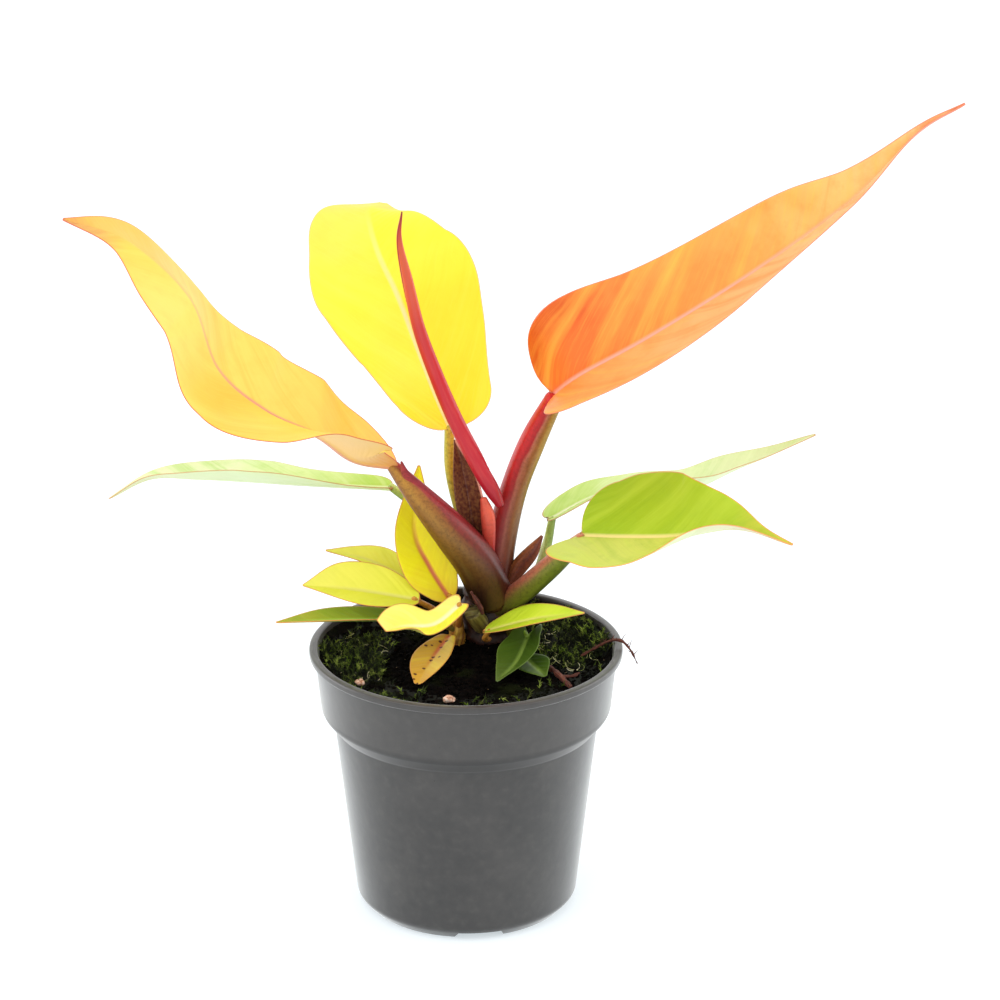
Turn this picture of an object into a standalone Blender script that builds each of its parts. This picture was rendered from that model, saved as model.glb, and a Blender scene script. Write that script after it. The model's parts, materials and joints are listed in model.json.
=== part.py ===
"""A young philodendron with orange, yellow and lime leaves in a stepped nursery pot.

Sizes below are in millimetres and are turned to metres where the objects are made. +Z is up, +X is
the side of the longest leaf, and the origin is the centre of the pot's underside.
"""

import math

import bmesh
import bpy
import numpy as np

MM = 0.001

# Driving dimensions, in millimetres and degrees.
POT_HEIGHT = 105.0
RIM_RADIUS = 60.0
POT_WALL = 1.2
LIP_HEIGHT = 2.7
LIP_OVERHANG = 2.2
COLLAR_HEIGHT = 22.0
COLLAR_DRAFT = 2.2
STEP_HEIGHT = 6.0
STEP_WIDTH = 5.0
BODY_DRAFT = 8.0
FOOT_HEIGHT = 4.0
FOOT_INSET = 3.7
FLOOR_LIFT = 3.3
HUB_RADIUS = 12.0
NOTCH_COUNT = 4
NOTCH_WIDTH = 18.0
NOTCH_TURN = 7.5
DRAIN_COUNT = 8
DRAIN_RADIUS = 4.0
DRAIN_CIRCLE = 24.0
SOIL_DROP = 8.0
SOIL_MOUND = 4.0
SOIL_MOUND_REACH = 14.0
SOIL_RIPPLE = 0.6
CROWN_X = 8.0
CROWN_Y = 21.0
CROWN_RADIUS = 10.5
CROWN_HEIGHT = 30.0
CROWN_DEPTH = 9.0
OFFSHOOT_RADIUS = 3.2
BLADE_THICKNESS = 0.8
BLADE_CURL = 9.0
BASE_ROUNDING = 0.1
LOBE_REACH = 0.18
ROOT_RADIUS = 1.3
LITTER_LIFT = 0.8
GAP = 0.3

SOIL_TOP = POT_HEIGHT - SOIL_DROP
MOUTH_RADIUS = RIM_RADIUS - LIP_OVERHANG - POT_WALL
ROUND_STEPS = 48

# Stalks: the centre line from the crown outwards and the radius at each point, measured from the
# place where the crown leaves the soil. The first point's x and y are shares of the crown's radius.
STALKS = {
    "amber": (
        ((0, -0.48, 22), (-6, -13, 42), (-16, -15, 57), (-28, -15, 69), (-35, -14, 78)),
        (8.0, 7.4, 6.8, 4.8, 2.6),
    ),
    "orange": (
        ((0.19, 0.1, 20), (5, 1, 42), (10, 0, 64), (17, -5, 85), (25, -11, 104)),
        (7.0, 6.2, 5.3, 5.4, 3.2),
    ),
    "lime": (
        ((0.38, -0.38, 16), (13, -11, 26), (20, -15, 34), (28, -18, 43), (36, -21, 52)),
        (5.2, 4.9, 4.7, 4.2, 2.4),
    ),
    "yellow": (
        ((-0.1, 0, 22), (-4, 0, 43), (-8, 1, 57), (-11, 0, 72), (-14, 1, 88)),
        (5.0, 4.6, 3.8, 2.8, 1.9),
    ),
    "pale_left": (
        ((-0.29, 0.1, 17), (-9, 5, 29), (-18, 7, 42), (-28, 9, 54), (-37, 10, 61)),
        (3.4, 2.9, 2.5, 2.1, 1.6),
    ),
    "pale_right": (
        ((0.48, 0.1, 13), (13, 4, 18), (20, 7, 27), (23, 9, 37), (25, 9, 48)),
        (3.0, 2.6, 2.3, 2.0, 1.6),
    ),
    "rolled_red": (
        ((0.1, -0.57, 40), (0.5, -7, 52), (0.5, -7, 60)),
        (2.8, 3.0, 2.2),
    ),
}

# Blades: the midrib from foot to tip, the way the upper face looks at even steps along it, half
# widths at even steps, the fold of the left and of the right half in degrees at even steps, how far
# the base lobes reach back, and how far the base is rounded off.
BLADES = {
    "orange": dict(
        midrib=((25, -11, 106), (33, -19, 119), (61, -22, 133), (99, -24, 159), (133, -30, 188),
                (156, -32, 214), (173, -35, 226)),
        face=((-0.25, -0.55, 0.8), (-0.35, -0.4, 0.85), (-0.2, -0.55, 0.8), (-0.15, -0.65, 0.75)),
        widths=(18, 31, 29, 24, 16, 4, 1), left=(30, 15, 25, 38), right=(20, 20, 36, 60), lobe=11,
    ),
    "amber": dict(
        midrib=((-34, -14, 78), (-50, -17, 82), (-63, -26, 95), (-82, -34, 108), (-99, -36, 125),
                (-109, -36, 153), (-131, -32, 173), (-155, -30, 181)),
        face=((0.1, -0.4, 0.9), (0.05, -0.35, 0.95), (0.35, -0.1, 0.95), (0.25, -0.45, 0.85)),
        widths=(8, 22, 30, 31, 29, 25, 12, 0.6), left=(62, 37, 0, -5, 16), right=(22, 13, 0, -14, 12),
        lobe=2,
    ),
    "yellow": dict(
        midrib=((-14, 1, 88), (-20, 10, 99), (-27, 17, 116), (-34, 22, 134), (-42, 35, 146),
                (-47, 59, 152), (-41, 78, 150)),
        face=((0.4, -0.75, 0.55), (0.25, -0.75, 0.6), (-0.05, -0.7, 0.7), (-0.05, -0.1, 1)),
        widths=(13, 24, 29, 32, 25, 17, 6), left=(18, 14, 6, 9), right=(9, 7, 7, 10), lobe=3, shut=0.75,
    ),
    "lime": dict(
        midrib=((36, -21, 53), (51, -30, 56), (71, -42, 61), (93, -52, 68), (113, -61, 65)),
        face=((0.1, -0.45, 0.9), (-0.05, -0.5, 0.85), (-0.1, -0.5, 0.85)),
        widths=(16, 23, 25, 23, 15, 4, 0.6), left=(14, 16, 18, 18), right=(15, 16, 50, 55), lobe=12,
    ),
    "pale_right": dict(
        midrib=((24, 9, 48), (42, 16, 55), (61, 24, 55), (81, 29, 54), (98, 36, 59), (129, 49, 68)),
        face=((-0.2, 0, 1), (-0.25, 0.15, 0.95), (-0.1, -0.1, 1)),
        widths=(8, 17, 21, 20, 14, 5, 0.6), left=(6, 8, 12), right=(11, 15, 12), lobe=4,
    ),
    "pale_left": dict(
        midrib=((-37, 9, 61), (-73, 24, 57), (-93, 30, 56), (-113, 35, 55), (-132, 40, 53),
                (-149, 44, 43)),
        face=((0.5, -0.2, 0.85), (0.3, 0.1, 0.95), (0, 0, 1)),
        widths=(8, 18, 21, 20, 14, 6, 0.6), left=(11, 17, 14), right=(12, 9, 12), lobe=2,
    ),
}

# Basal leaves: as the blades, with the short stalk that carries each one from the offshoot or the
# crown. A stalk's foot on the offshoot is measured from the crown's side in x, and one on the crown
# is given in shares of the crown's radius in x and y.
SMALL_LEAVES = {
    "small_upright": dict(
        on="offshoot", stalk=((-1.5, -7, 11), (-13, -9, 18), (-14.5, -9.5, 24)), radius=1.1,
        midrib=((-14, -10, 22), (-23, -6, 36), (-30, -2, 50), (-27, 4, 72)), face=((0.15, -0.95, 0.3),),
        widths=(3, 9, 7, 4, 0.5), left=(16,), right=(13,),
    ),
    "small_back_left": dict(
        on="crown", stalk=((-0.67, 0.1, 9), (-18, 5, 17), (-31, 6, 24.5)), radius=1.2,
        midrib=((-29, 6, 23.5), (-46, 5, 32.5), (-62, 0, 38.5)), face=((0.15, -0.3, 0.95),),
        widths=(6, 9, 5, 0.5), left=(17,), right=(11,),
    ),
    "small_left": dict(
        on="offshoot", stalk=((-1.5, -6.5, 8.5), (-20, -7, 16.5), (-28, -15, 24.5)), radius=1.2,
        midrib=((-26, -15, 24), (-49, -15, 28), (-70, -22, 33)), face=((0.2, -0.4, 0.9),),
        widths=(5, 12, 11, 0.5), left=(17,), right=(12,),
    ),
    "small_green_left": dict(
        on="offshoot", stalk=((-1.5, -8.5, 9), (-20, -13, 14), (-31, -19, 18.2)), radius=1.1,
        midrib=((-29, -19, 18), (-54, -25, 20), (-80, -30, 21)), face=((0.05, 0, 1),),
        widths=(5, 8, 7, 0.6), left=(18,), right=(12,),
    ),
    "small_folded": dict(
        on="offshoot", stalk=((-0.5, -8, 10), (-10.5, -14, 17), (-10.5, -20.5, 24.5)), radius=1.1,
        midrib=((-10, -20, 24.5), (-20, -26, 17.5), (-31, -33, 21.5), (-36, -42, 24.5)),
        face=((0, -0.4, 0.9),),
        widths=(5, 6, 11, 7), left=(16, 32, 55), right=(45, 21, 18), lobe=4,
    ),
    "small_spotted": dict(
        on="offshoot", stalk=((-1.5, -9, 3), (-14, -10.5, 5.5), (-16, -13, 6.2)), radius=0.9,
        midrib=((-15, -10, 6.5), (-21, -24, 4.2), (-25, -40, 1.7)), face=((-0.1, -0.3, 0.95),),
        widths=(3, 5.5, 6, 1.7), left=(12,), right=(9,),
    ),
    "small_lime_right": dict(
        on="crown", stalk=((0.29, -0.57, 4.5), (-1, -13, 7), (1, -16.5, 12)), radius=1.0,
        midrib=((-1, -16, 11.5), (18, -23, 19.5), (37, -29, 24.5)), face=((0.05, -0.25, 0.95),),
        widths=(3, 8.5, 6.5, 0.5), left=(9,), right=(14,),
    ),
    "small_dark_green": dict(
        on="crown", stalk=((0.67, -0.48, 6), (13, -13, 11), (15.5, -20, 11)), radius=1.1,
        midrib=((16, -19, 11), (11, -34, 6), (4, -49, 5)), face=((-0.3, -0.45, 0.85),),
        widths=(6, 9, 6, 0.7), left=(21,), right=(18,), lobe=6,
    ),
    "small_green_under": dict(
        on="crown", stalk=((0.67, -0.57, 4), (11, -14, 5.5), (15, -26, 4.6)), radius=0.9,
        midrib=((14, -24, 4.6), (22, -42, 4)), face=((0, -0.4, 0.9),),
        widths=(3, 6.5, 1), left=(7,), right=(6,),
    ),
}

ROOTS = (
    ((0, 0, -7), (-8, -6, -22), (-20, -14, -40), (-26, -26, -60)),
    ((0, 0, -7), (6, -10, -24), (10, -26, -42), (4, -38, -62)),
    ((0, 0, -7), (8, 4, -22), (14, 2, -44), (12, -4, -70)),
    ((0, 0, -7), (-6, 4, -22), (-18, 4, -44), (-28, -4, -66)),
)

# Loose pieces on the soil: places, and the moss cushions' half lengths and half widths, are shares
# of the pot's inner radius at the lip.
GRIT = (
    ("grit_left", -0.707, -0.362, 1.9),
    ("grit_front", -0.106, -0.68, 2.4),
    ("grit_right", 0.654, 0.654, 1.8),
)
MOSS = (
    ("moss_left", (-0.717, 0.018), (0.265, 0.16), 75, 1.6),
    ("moss_right", (0.682, 0.318), (0.28, 0.16), 115, 1.6),
    ("moss_front", (-0.459, -0.717), (0.16, 0.09), 150, 1.2),
)
TWIG = ((0.565, -0.141, 0), (0.636, -0.336, 0.4), (0.698, -0.512, 0))

COLOURS = {
    "pot_plastic": (0.155, 0.141, 0.133, 0.55),
    "soil": (0.016, 0.012, 0.009, 0.95),
    "moss": (0.06, 0.10, 0.02, 0.95),
    "crown": (0.035, 0.016, 0.010, 0.5),
    "orange": (0.93, 0.33, 0.07, 0.4),
    "amber": (0.95, 0.64, 0.13, 0.4),
    "yellow": (0.97, 0.84, 0.06, 0.4),
    "rolled_red": (0.64, 0.035, 0.045, 0.35),
    "lime": (0.43, 0.62, 0.02, 0.4),
    "pale_right": (0.66, 0.76, 0.30, 0.45),
    "pale_left": (0.66, 0.76, 0.25, 0.45),
    "stalk_red": (0.38, 0.03, 0.02, 0.4),
    "stalk_brown": (0.22, 0.08, 0.03, 0.4),
    "stalk_green": (0.17, 0.20, 0.03, 0.4),
    "small_gold": (0.80, 0.60, 0.03, 0.4),
    "small_yellow": (0.78, 0.76, 0.08, 0.4),
    "small_green": (0.17, 0.33, 0.03, 0.4),
    "dry_stem": (0.16, 0.06, 0.03, 0.7),
    "grit": (0.62, 0.36, 0.25, 0.8),
}


def empty_scene():
    for thing in list(bpy.data.objects):
        bpy.data.objects.remove(thing, do_unlink=True)


empty_scene()
parts = bpy.data.collections.new("potted_philodendron")
cutters = bpy.data.collections.new("cutters")
bpy.context.scene.collection.children.link(parts)
bpy.context.scene.collection.children.link(cutters)


def material(name):
    found = bpy.data.materials.get(name)
    if found:
        return found
    made = bpy.data.materials.new(name)
    made.use_nodes = True
    red, green, blue, roughness = COLOURS[name]
    shader = made.node_tree.nodes["Principled BSDF"]
    shader.inputs["Base Color"].default_value = (red, green, blue, 1.0)
    shader.inputs["Roughness"].default_value = roughness
    shader.inputs["Metallic"].default_value = 0.0
    return made


def add_object(name, data, finish=None):
    """Link a new object as a part, or as a hidden cutter when it has no finish."""
    made = bpy.data.objects.new(name, data)
    if finish:
        parts.objects.link(made)
        data.materials.append(material(finish))
    else:
        cutters.objects.link(made)
        made.hide_render = True
        made.display_type = "WIRE"
    return made


def evaluated_mesh(thing):
    bpy.context.view_layer.update()
    graph = bpy.context.evaluated_depsgraph_get()
    return bpy.data.meshes.new_from_object(thing.evaluated_get(graph))


def turned(name, profile, finish=None):
    """A solid of revolution from (radius, height) points that start and end on the axis."""
    mesh = bpy.data.meshes.new(name)
    edges = [(i, i + 1) for i in range(len(profile) - 1)]
    mesh.from_pydata([(r * MM, 0, z * MM) for r, z in profile], edges, [])
    made = add_object(name, mesh, finish)
    screw = made.modifiers.new("Turn", "SCREW")
    screw.steps = ROUND_STEPS
    screw.render_steps = ROUND_STEPS
    screw.use_merge_vertices = True
    screw.merge_threshold = 0.00001
    return made


def subtract(thing, cutter, operation="DIFFERENCE"):
    cut = thing.modifiers.new(operation.title(), "BOOLEAN")
    cut.operation = operation
    cut.solver = "EXACT"
    cut.object = cutter


def tube(name, points, radii, finish=None, grow=0.0, sides=2):
    """A round stalk along the points; grow widens and lengthens it to cut clearance around it."""
    path = smooth(np.array([(*p, r) for p, r in zip(points, radii)], float), 2 * len(points) + 1)
    centre = path[:, :3].copy()
    start = unit(centre[0] - centre[1])
    end = unit(centre[-1] - centre[-2])
    centre[0] += start * grow
    centre[-1] += end * grow
    curve = bpy.data.curves.new(name, "CURVE")
    curve.dimensions = "3D"
    curve.bevel_depth = MM
    curve.bevel_resolution = sides
    curve.use_fill_caps = True
    line = curve.splines.new("POLY")
    line.points.add(len(centre) - 1)
    for point, place, radius in zip(line.points, centre, path[:, 3]):
        point.co = (*(place * MM), 1.0)
        point.radius = radius + grow
    source = add_object(name + "_curve", curve)
    mesh = evaluated_mesh(source)
    bpy.data.objects.remove(source, do_unlink=True)
    bpy.data.curves.remove(curve)
    welded = bmesh.new()
    welded.from_mesh(mesh)
    bmesh.ops.remove_doubles(welded, verts=welded.verts, dist=0.00001)
    bmesh.ops.recalc_face_normals(welded, faces=welded.faces)
    welded.to_mesh(mesh)
    welded.free()
    mesh.name = name
    mesh.materials.clear()
    mesh.shade_smooth()
    return add_object(name, mesh, finish)


def unit(vectors):
    return vectors / np.linalg.norm(vectors, axis=-1, keepdims=True)


def along(values, where):
    """Values given at even steps, read smoothly at shares of the way from 0 to 1."""
    values = np.array(values, float)
    values = values.reshape(len(values), -1)
    if len(values) == 1:
        return np.repeat(values, len(where), axis=0)
    slopes = np.gradient(values, axis=0)
    place = np.clip(where, 0, 1) * (len(values) - 1)
    left = np.minimum(place.astype(int), len(values) - 2)
    t = (place - left)[:, None]
    rise = 3 * t**2 - 2 * t**3
    return (
        (1 - rise) * values[left] + rise * values[left + 1]
        + (t - 2 * t**2 + t**3) * slopes[left] + (t**3 - t**2) * slopes[left + 1]
    )


def smooth(points, count):
    """Evenly spaced points on a smooth curve through the given ones."""
    fine = along(points, np.linspace(0, 1, 40 * len(points)))
    steps = np.linalg.norm(np.diff(fine[:, :3], axis=0), axis=1)
    length = np.concatenate([[0], np.cumsum(steps)])
    where = np.linspace(0, length[-1], count)
    return np.stack([np.interp(where, length, column) for column in fine.T], axis=1)


def from_crown(points):
    """Points measured from where the crown leaves the soil, in the pot's frame."""
    return np.array(points, float) + (CROWN_X, CROWN_Y, SOIL_TOP)


def blade_grid(leaf, rows, columns):
    """The leaf's surface: rows along the midrib and columns from the left margin to the right one."""
    midrib = smooth(from_crown(leaf["midrib"]), rows + 1)
    share = np.linspace(0, 1, rows + 1)
    ahead = unit(np.gradient(midrib, axis=0))
    face = along(leaf["face"], share)
    face = unit(face - (face * ahead).sum(axis=1, keepdims=True) * ahead)
    side = np.cross(ahead, face)
    closing = 1 - np.clip(share / BASE_ROUNDING, 0, 1)
    shut = leaf.get("shut", 0.0)
    width = along(leaf["widths"], share)[:, 0] * np.sqrt(1 - closing**2 * (1 - (1 - shut) ** 2))
    lobe = leaf.get("lobe", 1.0) * np.clip(1 - share / LOBE_REACH, 0, 1) ** 1.6
    grid = np.zeros((rows + 1, 2 * columns + 1, 3))
    for column in range(-columns, columns + 1):
        out = abs(column) / columns
        fold = np.radians(along(leaf["left"] if column < 0 else leaf["right"], share)[:, 0])
        reach = np.zeros(rows + 1)
        rise = np.zeros(rows + 1)
        for piece in range(6):
            angle = fold + math.radians(BLADE_CURL) * out * (piece + 0.5) / 6
            reach += np.cos(angle) * width * out / 6
            rise += np.sin(angle) * width * out / 6
        sideways = side * (reach * np.sign(column))[:, None]
        back = ahead * (lobe * out**1.5)[:, None]
        grid[:, column + columns] = midrib + sideways + face * rise[:, None] - back
    return grid


def blade(name, leaf, finish, rows, columns):
    """A blade: the leaf surface thickened evenly to both sides."""
    grid = blade_grid(leaf, rows, columns)
    across = grid.shape[1]
    sheet = bmesh.new()
    points = [sheet.verts.new(point * MM) for point in grid.reshape(-1, 3)]
    for row in range(rows):
        for column in range(across - 1):
            corner = row * across + column
            sheet.faces.new([points[corner + k] for k in (0, 1, across + 1, across)])
    bmesh.ops.recalc_face_normals(sheet, faces=sheet.faces)
    mesh = bpy.data.meshes.new(name)
    sheet.to_mesh(mesh)
    sheet.free()
    mesh.shade_smooth()
    made = add_object(name, mesh, finish)
    shell = made.modifiers.new("Thickness", "SOLIDIFY")
    shell.thickness = BLADE_THICKNESS * MM
    shell.offset = 0.0
    return made


def pot_outline():
    """The outside from the lip's top edge down, as (radius, height) points."""
    collar_top = POT_HEIGHT - LIP_HEIGHT
    collar_radius = RIM_RADIUS - LIP_OVERHANG
    step_top = collar_top - COLLAR_HEIGHT
    step_radius = collar_radius - COLLAR_DRAFT
    body_radius = step_radius - STEP_WIDTH
    foot_radius = body_radius - BODY_DRAFT
    return [
        (RIM_RADIUS, POT_HEIGHT),
        (RIM_RADIUS, collar_top),
        (collar_radius, collar_top),
        (step_radius, step_top),
        (step_radius - STEP_WIDTH * 0.24, step_top - STEP_HEIGHT * 0.55),
        (body_radius, step_top - STEP_HEIGHT),
        (foot_radius, FOOT_HEIGHT),
        (foot_radius - FOOT_INSET, 0.0),
    ]


def pot_inside():
    """The inside from the lip's inner top edge down to the floor at the wall."""
    outline = pot_outline()
    inner = [(MOUTH_RADIUS + 0.4, POT_HEIGHT)]
    inner += [(r - POT_WALL, z - POT_WALL * 0.4) for r, z in outline[2:6]]
    foot_radius = outline[6][0]
    floor_top = FLOOR_LIFT + POT_WALL
    inner += [(foot_radius - POT_WALL, floor_top + 1.5), (foot_radius - POT_WALL - 1.5, floor_top)]
    return inner


def nursery_pot():
    outline = pot_outline()
    foot = outline[-1][0]
    floor_top = FLOOR_LIFT + POT_WALL
    hub_hollow = HUB_RADIUS - POT_WALL
    profile = [(0, POT_WALL), (hub_hollow, POT_WALL), (hub_hollow, floor_top)]
    profile += pot_inside()[::-1]
    profile += outline
    profile += [(foot - POT_WALL, 0), (foot - POT_WALL + 0.5, FLOOR_LIFT)]
    profile += [(HUB_RADIUS, FLOOR_LIFT), (HUB_RADIUS, 0), (0, 0)]
    pot = turned("nursery_pot", profile, "pot_plastic")
    cutter = bmesh.new()
    for index in range(DRAIN_COUNT):
        turn = 2 * math.pi * (index + 0.5) / DRAIN_COUNT
        made = bmesh.ops.create_cone(cutter, cap_ends=True, segments=16, radius1=DRAIN_RADIUS * MM,
                                     radius2=DRAIN_RADIUS * MM, depth=4 * POT_WALL * MM)
        place = (DRAIN_CIRCLE * math.cos(turn) * MM, DRAIN_CIRCLE * math.sin(turn) * MM,
                 (FLOOR_LIFT + POT_WALL / 2) * MM)
        bmesh.ops.translate(cutter, verts=made["verts"], vec=place)
    for index in range(NOTCH_COUNT):
        turn = math.radians(NOTCH_TURN - 90) + 2 * math.pi * index / NOTCH_COUNT
        made = bmesh.ops.create_cube(cutter, size=1.0)
        deep = 4 * FOOT_INSET
        for vert in made["verts"]:
            low = vert.co.z < 0
            x = (foot + vert.co.x * deep) * MM
            y = vert.co.y * (NOTCH_WIDTH + (2 if low else -2)) * MM
            z = (-2.0 if low else FLOOR_LIFT - 0.4) * MM
            vert.co = (x * math.cos(turn) - y * math.sin(turn), x * math.sin(turn) + y * math.cos(turn), z)
    bmesh.ops.recalc_face_normals(cutter, faces=cutter.faces)
    mesh = bpy.data.meshes.new("pot_cutter")
    cutter.to_mesh(mesh)
    cutter.free()
    subtract(pot, add_object("pot_cutter", mesh))
    return pot


def soil_height(x, y):
    """The soil's top: level, slightly uneven, and heaped around the crown."""
    away = (x - CROWN_X) ** 2 + (y - CROWN_Y) ** 2
    heap = SOIL_MOUND * math.exp(-away / (2 * SOIL_MOUND_REACH**2))
    ripple = math.sin(x / 7.3 + 0.4) * math.cos(y / 8.1) + 0.6 * math.sin((x + y) / 9.7)
    return SOIL_TOP + heap + SOIL_RIPPLE * ripple


def potting_soil():
    """The root ball: it fills the pot with a small clearance, under an uneven heaped top."""
    inside = [(r - GAP, z + GAP) for r, z in pot_inside()]
    wall = [(r, z) for r, z in inside if z < SOIL_TOP - 1]
    above = inside[len(inside) - len(wall) - 1]
    share = (SOIL_TOP - wall[0][1]) / (above[1] - wall[0][1])
    edge = wall[0][0] + (above[0] - wall[0][0]) * share
    rings = 6
    profile = [(edge * ring / rings, SOIL_TOP) for ring in range(rings + 1)] + wall
    profile.append((0, wall[-1][1]))
    source = turned("potting_soil_source", profile)
    mesh = evaluated_mesh(source)
    bpy.data.objects.remove(source, do_unlink=True)
    for vert in mesh.vertices:
        if vert.co.z > (SOIL_TOP - 0.01) * MM:
            vert.co.z = soil_height(vert.co.x / MM, vert.co.y / MM) * MM
    mesh.materials.clear()
    soil = add_object("potting_soil", mesh, "soil")
    subtract(soil, tube("crown_socket", *crown_line(), grow=GAP, sides=4))
    subtract(soil, tube("offshoot_socket", *offshoot_line(), grow=GAP))
    for index, root in enumerate(ROOTS):
        subtract(soil, tube(f"root_tunnel_{index + 1}", from_crown(root), root_radii(), grow=GAP))
    return soil


def crown_line():
    """Centre line and radii of the short stem, from its foot in the soil to its top."""
    heights = (-CROWN_DEPTH, 0.0, CROWN_HEIGHT * 0.35, CROWN_HEIGHT * 0.75, CROWN_HEIGHT)
    shares = (0.6, 0.92, 1.0, 0.85, 0.55)
    return from_crown([(0, 0, z) for z in heights]), [CROWN_RADIUS * share for share in shares]


def offshoot_line():
    """Centre line and radii of the small side stem that carries most basal leaves."""
    beside = -CROWN_RADIUS - 1
    points = from_crown([(beside + 0.5, -6, -4), (beside, -7, 6), (beside, -8, 13)])
    return points, [OFFSHOOT_RADIUS, OFFSHOOT_RADIUS, OFFSHOOT_RADIUS * 0.7]


def root_radii():
    return [ROOT_RADIUS * share for share in (1.3, 1.0, 0.8, 0.5)]


def stem_and_roots():
    tube("main_stem", *crown_line(), finish="crown", sides=4)
    crown_cutter = tube("crown_clearance", *crown_line(), grow=GAP, sides=4)
    offshoot = tube("offshoot_stem", *offshoot_line(), finish="dry_stem")
    subtract(offshoot, crown_cutter)
    offshoot_cutter = tube("offshoot_clearance", *offshoot_line(), grow=GAP)
    earlier = []
    for index, line in enumerate(ROOTS):
        root = tube(f"root_{index + 1}", from_crown(line), root_radii(), finish="dry_stem")
        subtract(root, crown_cutter)
        for other in earlier:
            subtract(root, other)
        earlier.append(tube(f"root_clearance_{index + 1}", from_crown(line), root_radii(), grow=GAP))
    return crown_cutter, offshoot_cutter


def stalks(crown_cutter):
    """The leaf stalks, each cut back from the crown and from the stalks that wrap over it."""
    finishes = {
        "amber": "stalk_brown", "orange": "stalk_red", "lime": "stalk_green", "yellow": "stalk_brown",
        "pale_left": "stalk_green", "pale_right": "stalk_green", "rolled_red": "stalk_red",
    }
    clearances = {}
    for name, (points, radii) in STALKS.items():
        foot = (points[0][0] * CROWN_RADIUS, points[0][1] * CROWN_RADIUS, points[0][2])
        line = from_crown((foot, *points[1:]))
        stalk = tube(f"stalk_{name}", line, radii, finish=finishes[name])
        subtract(stalk, crown_cutter)
        for other in clearances.values():
            subtract(stalk, other)
        clearances[name] = tube(f"stalk_clearance_{name}", line, radii, grow=GAP)
    return clearances


def large_leaves(clearances):
    for name, leaf in BLADES.items():
        made = blade(f"leaf_{name}", leaf, name, rows=13, columns=3)
        subtract(made, clearances[name])
    spear_line = (
        (5, -9, 61), (2, -8.5, 67), (-3.5, -8, 77), (-11, -7, 92), (-18.5, -6, 110),
        (-25.5, -5, 130), (-29.5, -5, 149), (-32.5, -5, 165), (-31.5, -5, 176),
    )
    spear_radii = (1.6, 3.4, 3.7, 3.6, 3.4, 3.0, 2.3, 1.2, 0.4)
    spear = tube("leaf_rolled_red", from_crown(spear_line), spear_radii, finish="rolled_red")
    for other in clearances.values():
        subtract(spear, other)


def small_leaves(cutters_by_stem):
    finishes = {
        "small_upright": "small_gold", "small_back_left": "small_yellow", "small_left": "small_yellow",
        "small_green_left": "small_green", "small_folded": "small_yellow", "small_spotted": "small_gold",
        "small_lime_right": "small_yellow", "small_dark_green": "small_green",
        "small_green_under": "small_green",
    }
    for name, leaf in SMALL_LEAVES.items():
        made = blade(f"leaf_{name}", leaf, finishes[name], rows=7, columns=2)
        radii = [leaf["radius"]] * 3
        x, y, z = leaf["stalk"][0]
        if leaf["on"] == "offshoot":
            foot = (x - CROWN_RADIUS, y, z)
        else:
            foot = (x * CROWN_RADIUS, y * CROWN_RADIUS, z)
        carrier = tube(f"{name}_stalk", from_crown((foot, *leaf["stalk"][1:])), radii)
        subtract(made, carrier, operation="UNION")
        for stem in ("crown", "offshoot"):
            subtract(made, cutters_by_stem[stem])


def stubs(crown_cutter, clearances):
    """What is left of older growth at the crown: a cut stub, a dry bract and a brown sheath."""
    stub_line = from_crown([(-1, -6, 9), (-3.5, -11, 14), (-5.5, -15, 19)])
    stub = tube("stub_old_stem", stub_line, [3.6, 3.4, 3.2], finish="dry_stem")
    pith = tube("stub_pith", from_crown([(-4.5, -13, 16.5), (-6.5, -17, 21.5)]), [1.2, 1.2])
    subtract(stub, pith)
    subtract(stub, crown_cutter)
    subtract(stub, clearances["amber"])
    sheath_line = from_crown([(8, -2, 25), (12, -1, 32), (17, 0, 38), (21, 1, 44)])
    sheath = tube("sheath_brown", sheath_line, [2.0, 3.0, 2.6, 0.6], finish="dry_stem")
    subtract(sheath, crown_cutter)
    for other in clearances.values():
        subtract(sheath, other)


def lying_piece(name, places, radii, finish):
    """A twig that lies on the soil through the given (x, y, lift) places."""
    lift = max(radii) + LITTER_LIFT
    line = [(x, y, soil_height(x, y) + lift + up) for x, y, up in places]
    return tube(name, line, radii, finish=finish)


def moss_patch(name, place, reach, turn, height):
    """A low cushion with a flat underside that lies just over the soil."""
    mesh = bpy.data.meshes.new(name)
    patch = bmesh.new()
    bmesh.ops.create_icosphere(patch, subdivisions=2, radius=1.0)
    for vert in patch.verts:
        across = vert.co.x * reach[0] * MOUTH_RADIUS
        deep = vert.co.y * reach[1] * MOUTH_RADIUS
        x = place[0] * MOUTH_RADIUS + across * math.cos(turn) - deep * math.sin(turn)
        y = place[1] * MOUTH_RADIUS + across * math.sin(turn) + deep * math.cos(turn)
        rise = 0.0 if vert.co.z < 0 else height * (0.3 + vert.co.z)
        vert.co = (x * MM, y * MM, (soil_height(x, y) + LITTER_LIFT + rise) * MM)
    patch.to_mesh(mesh)
    patch.free()
    return add_object(name, mesh, "moss")


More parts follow.
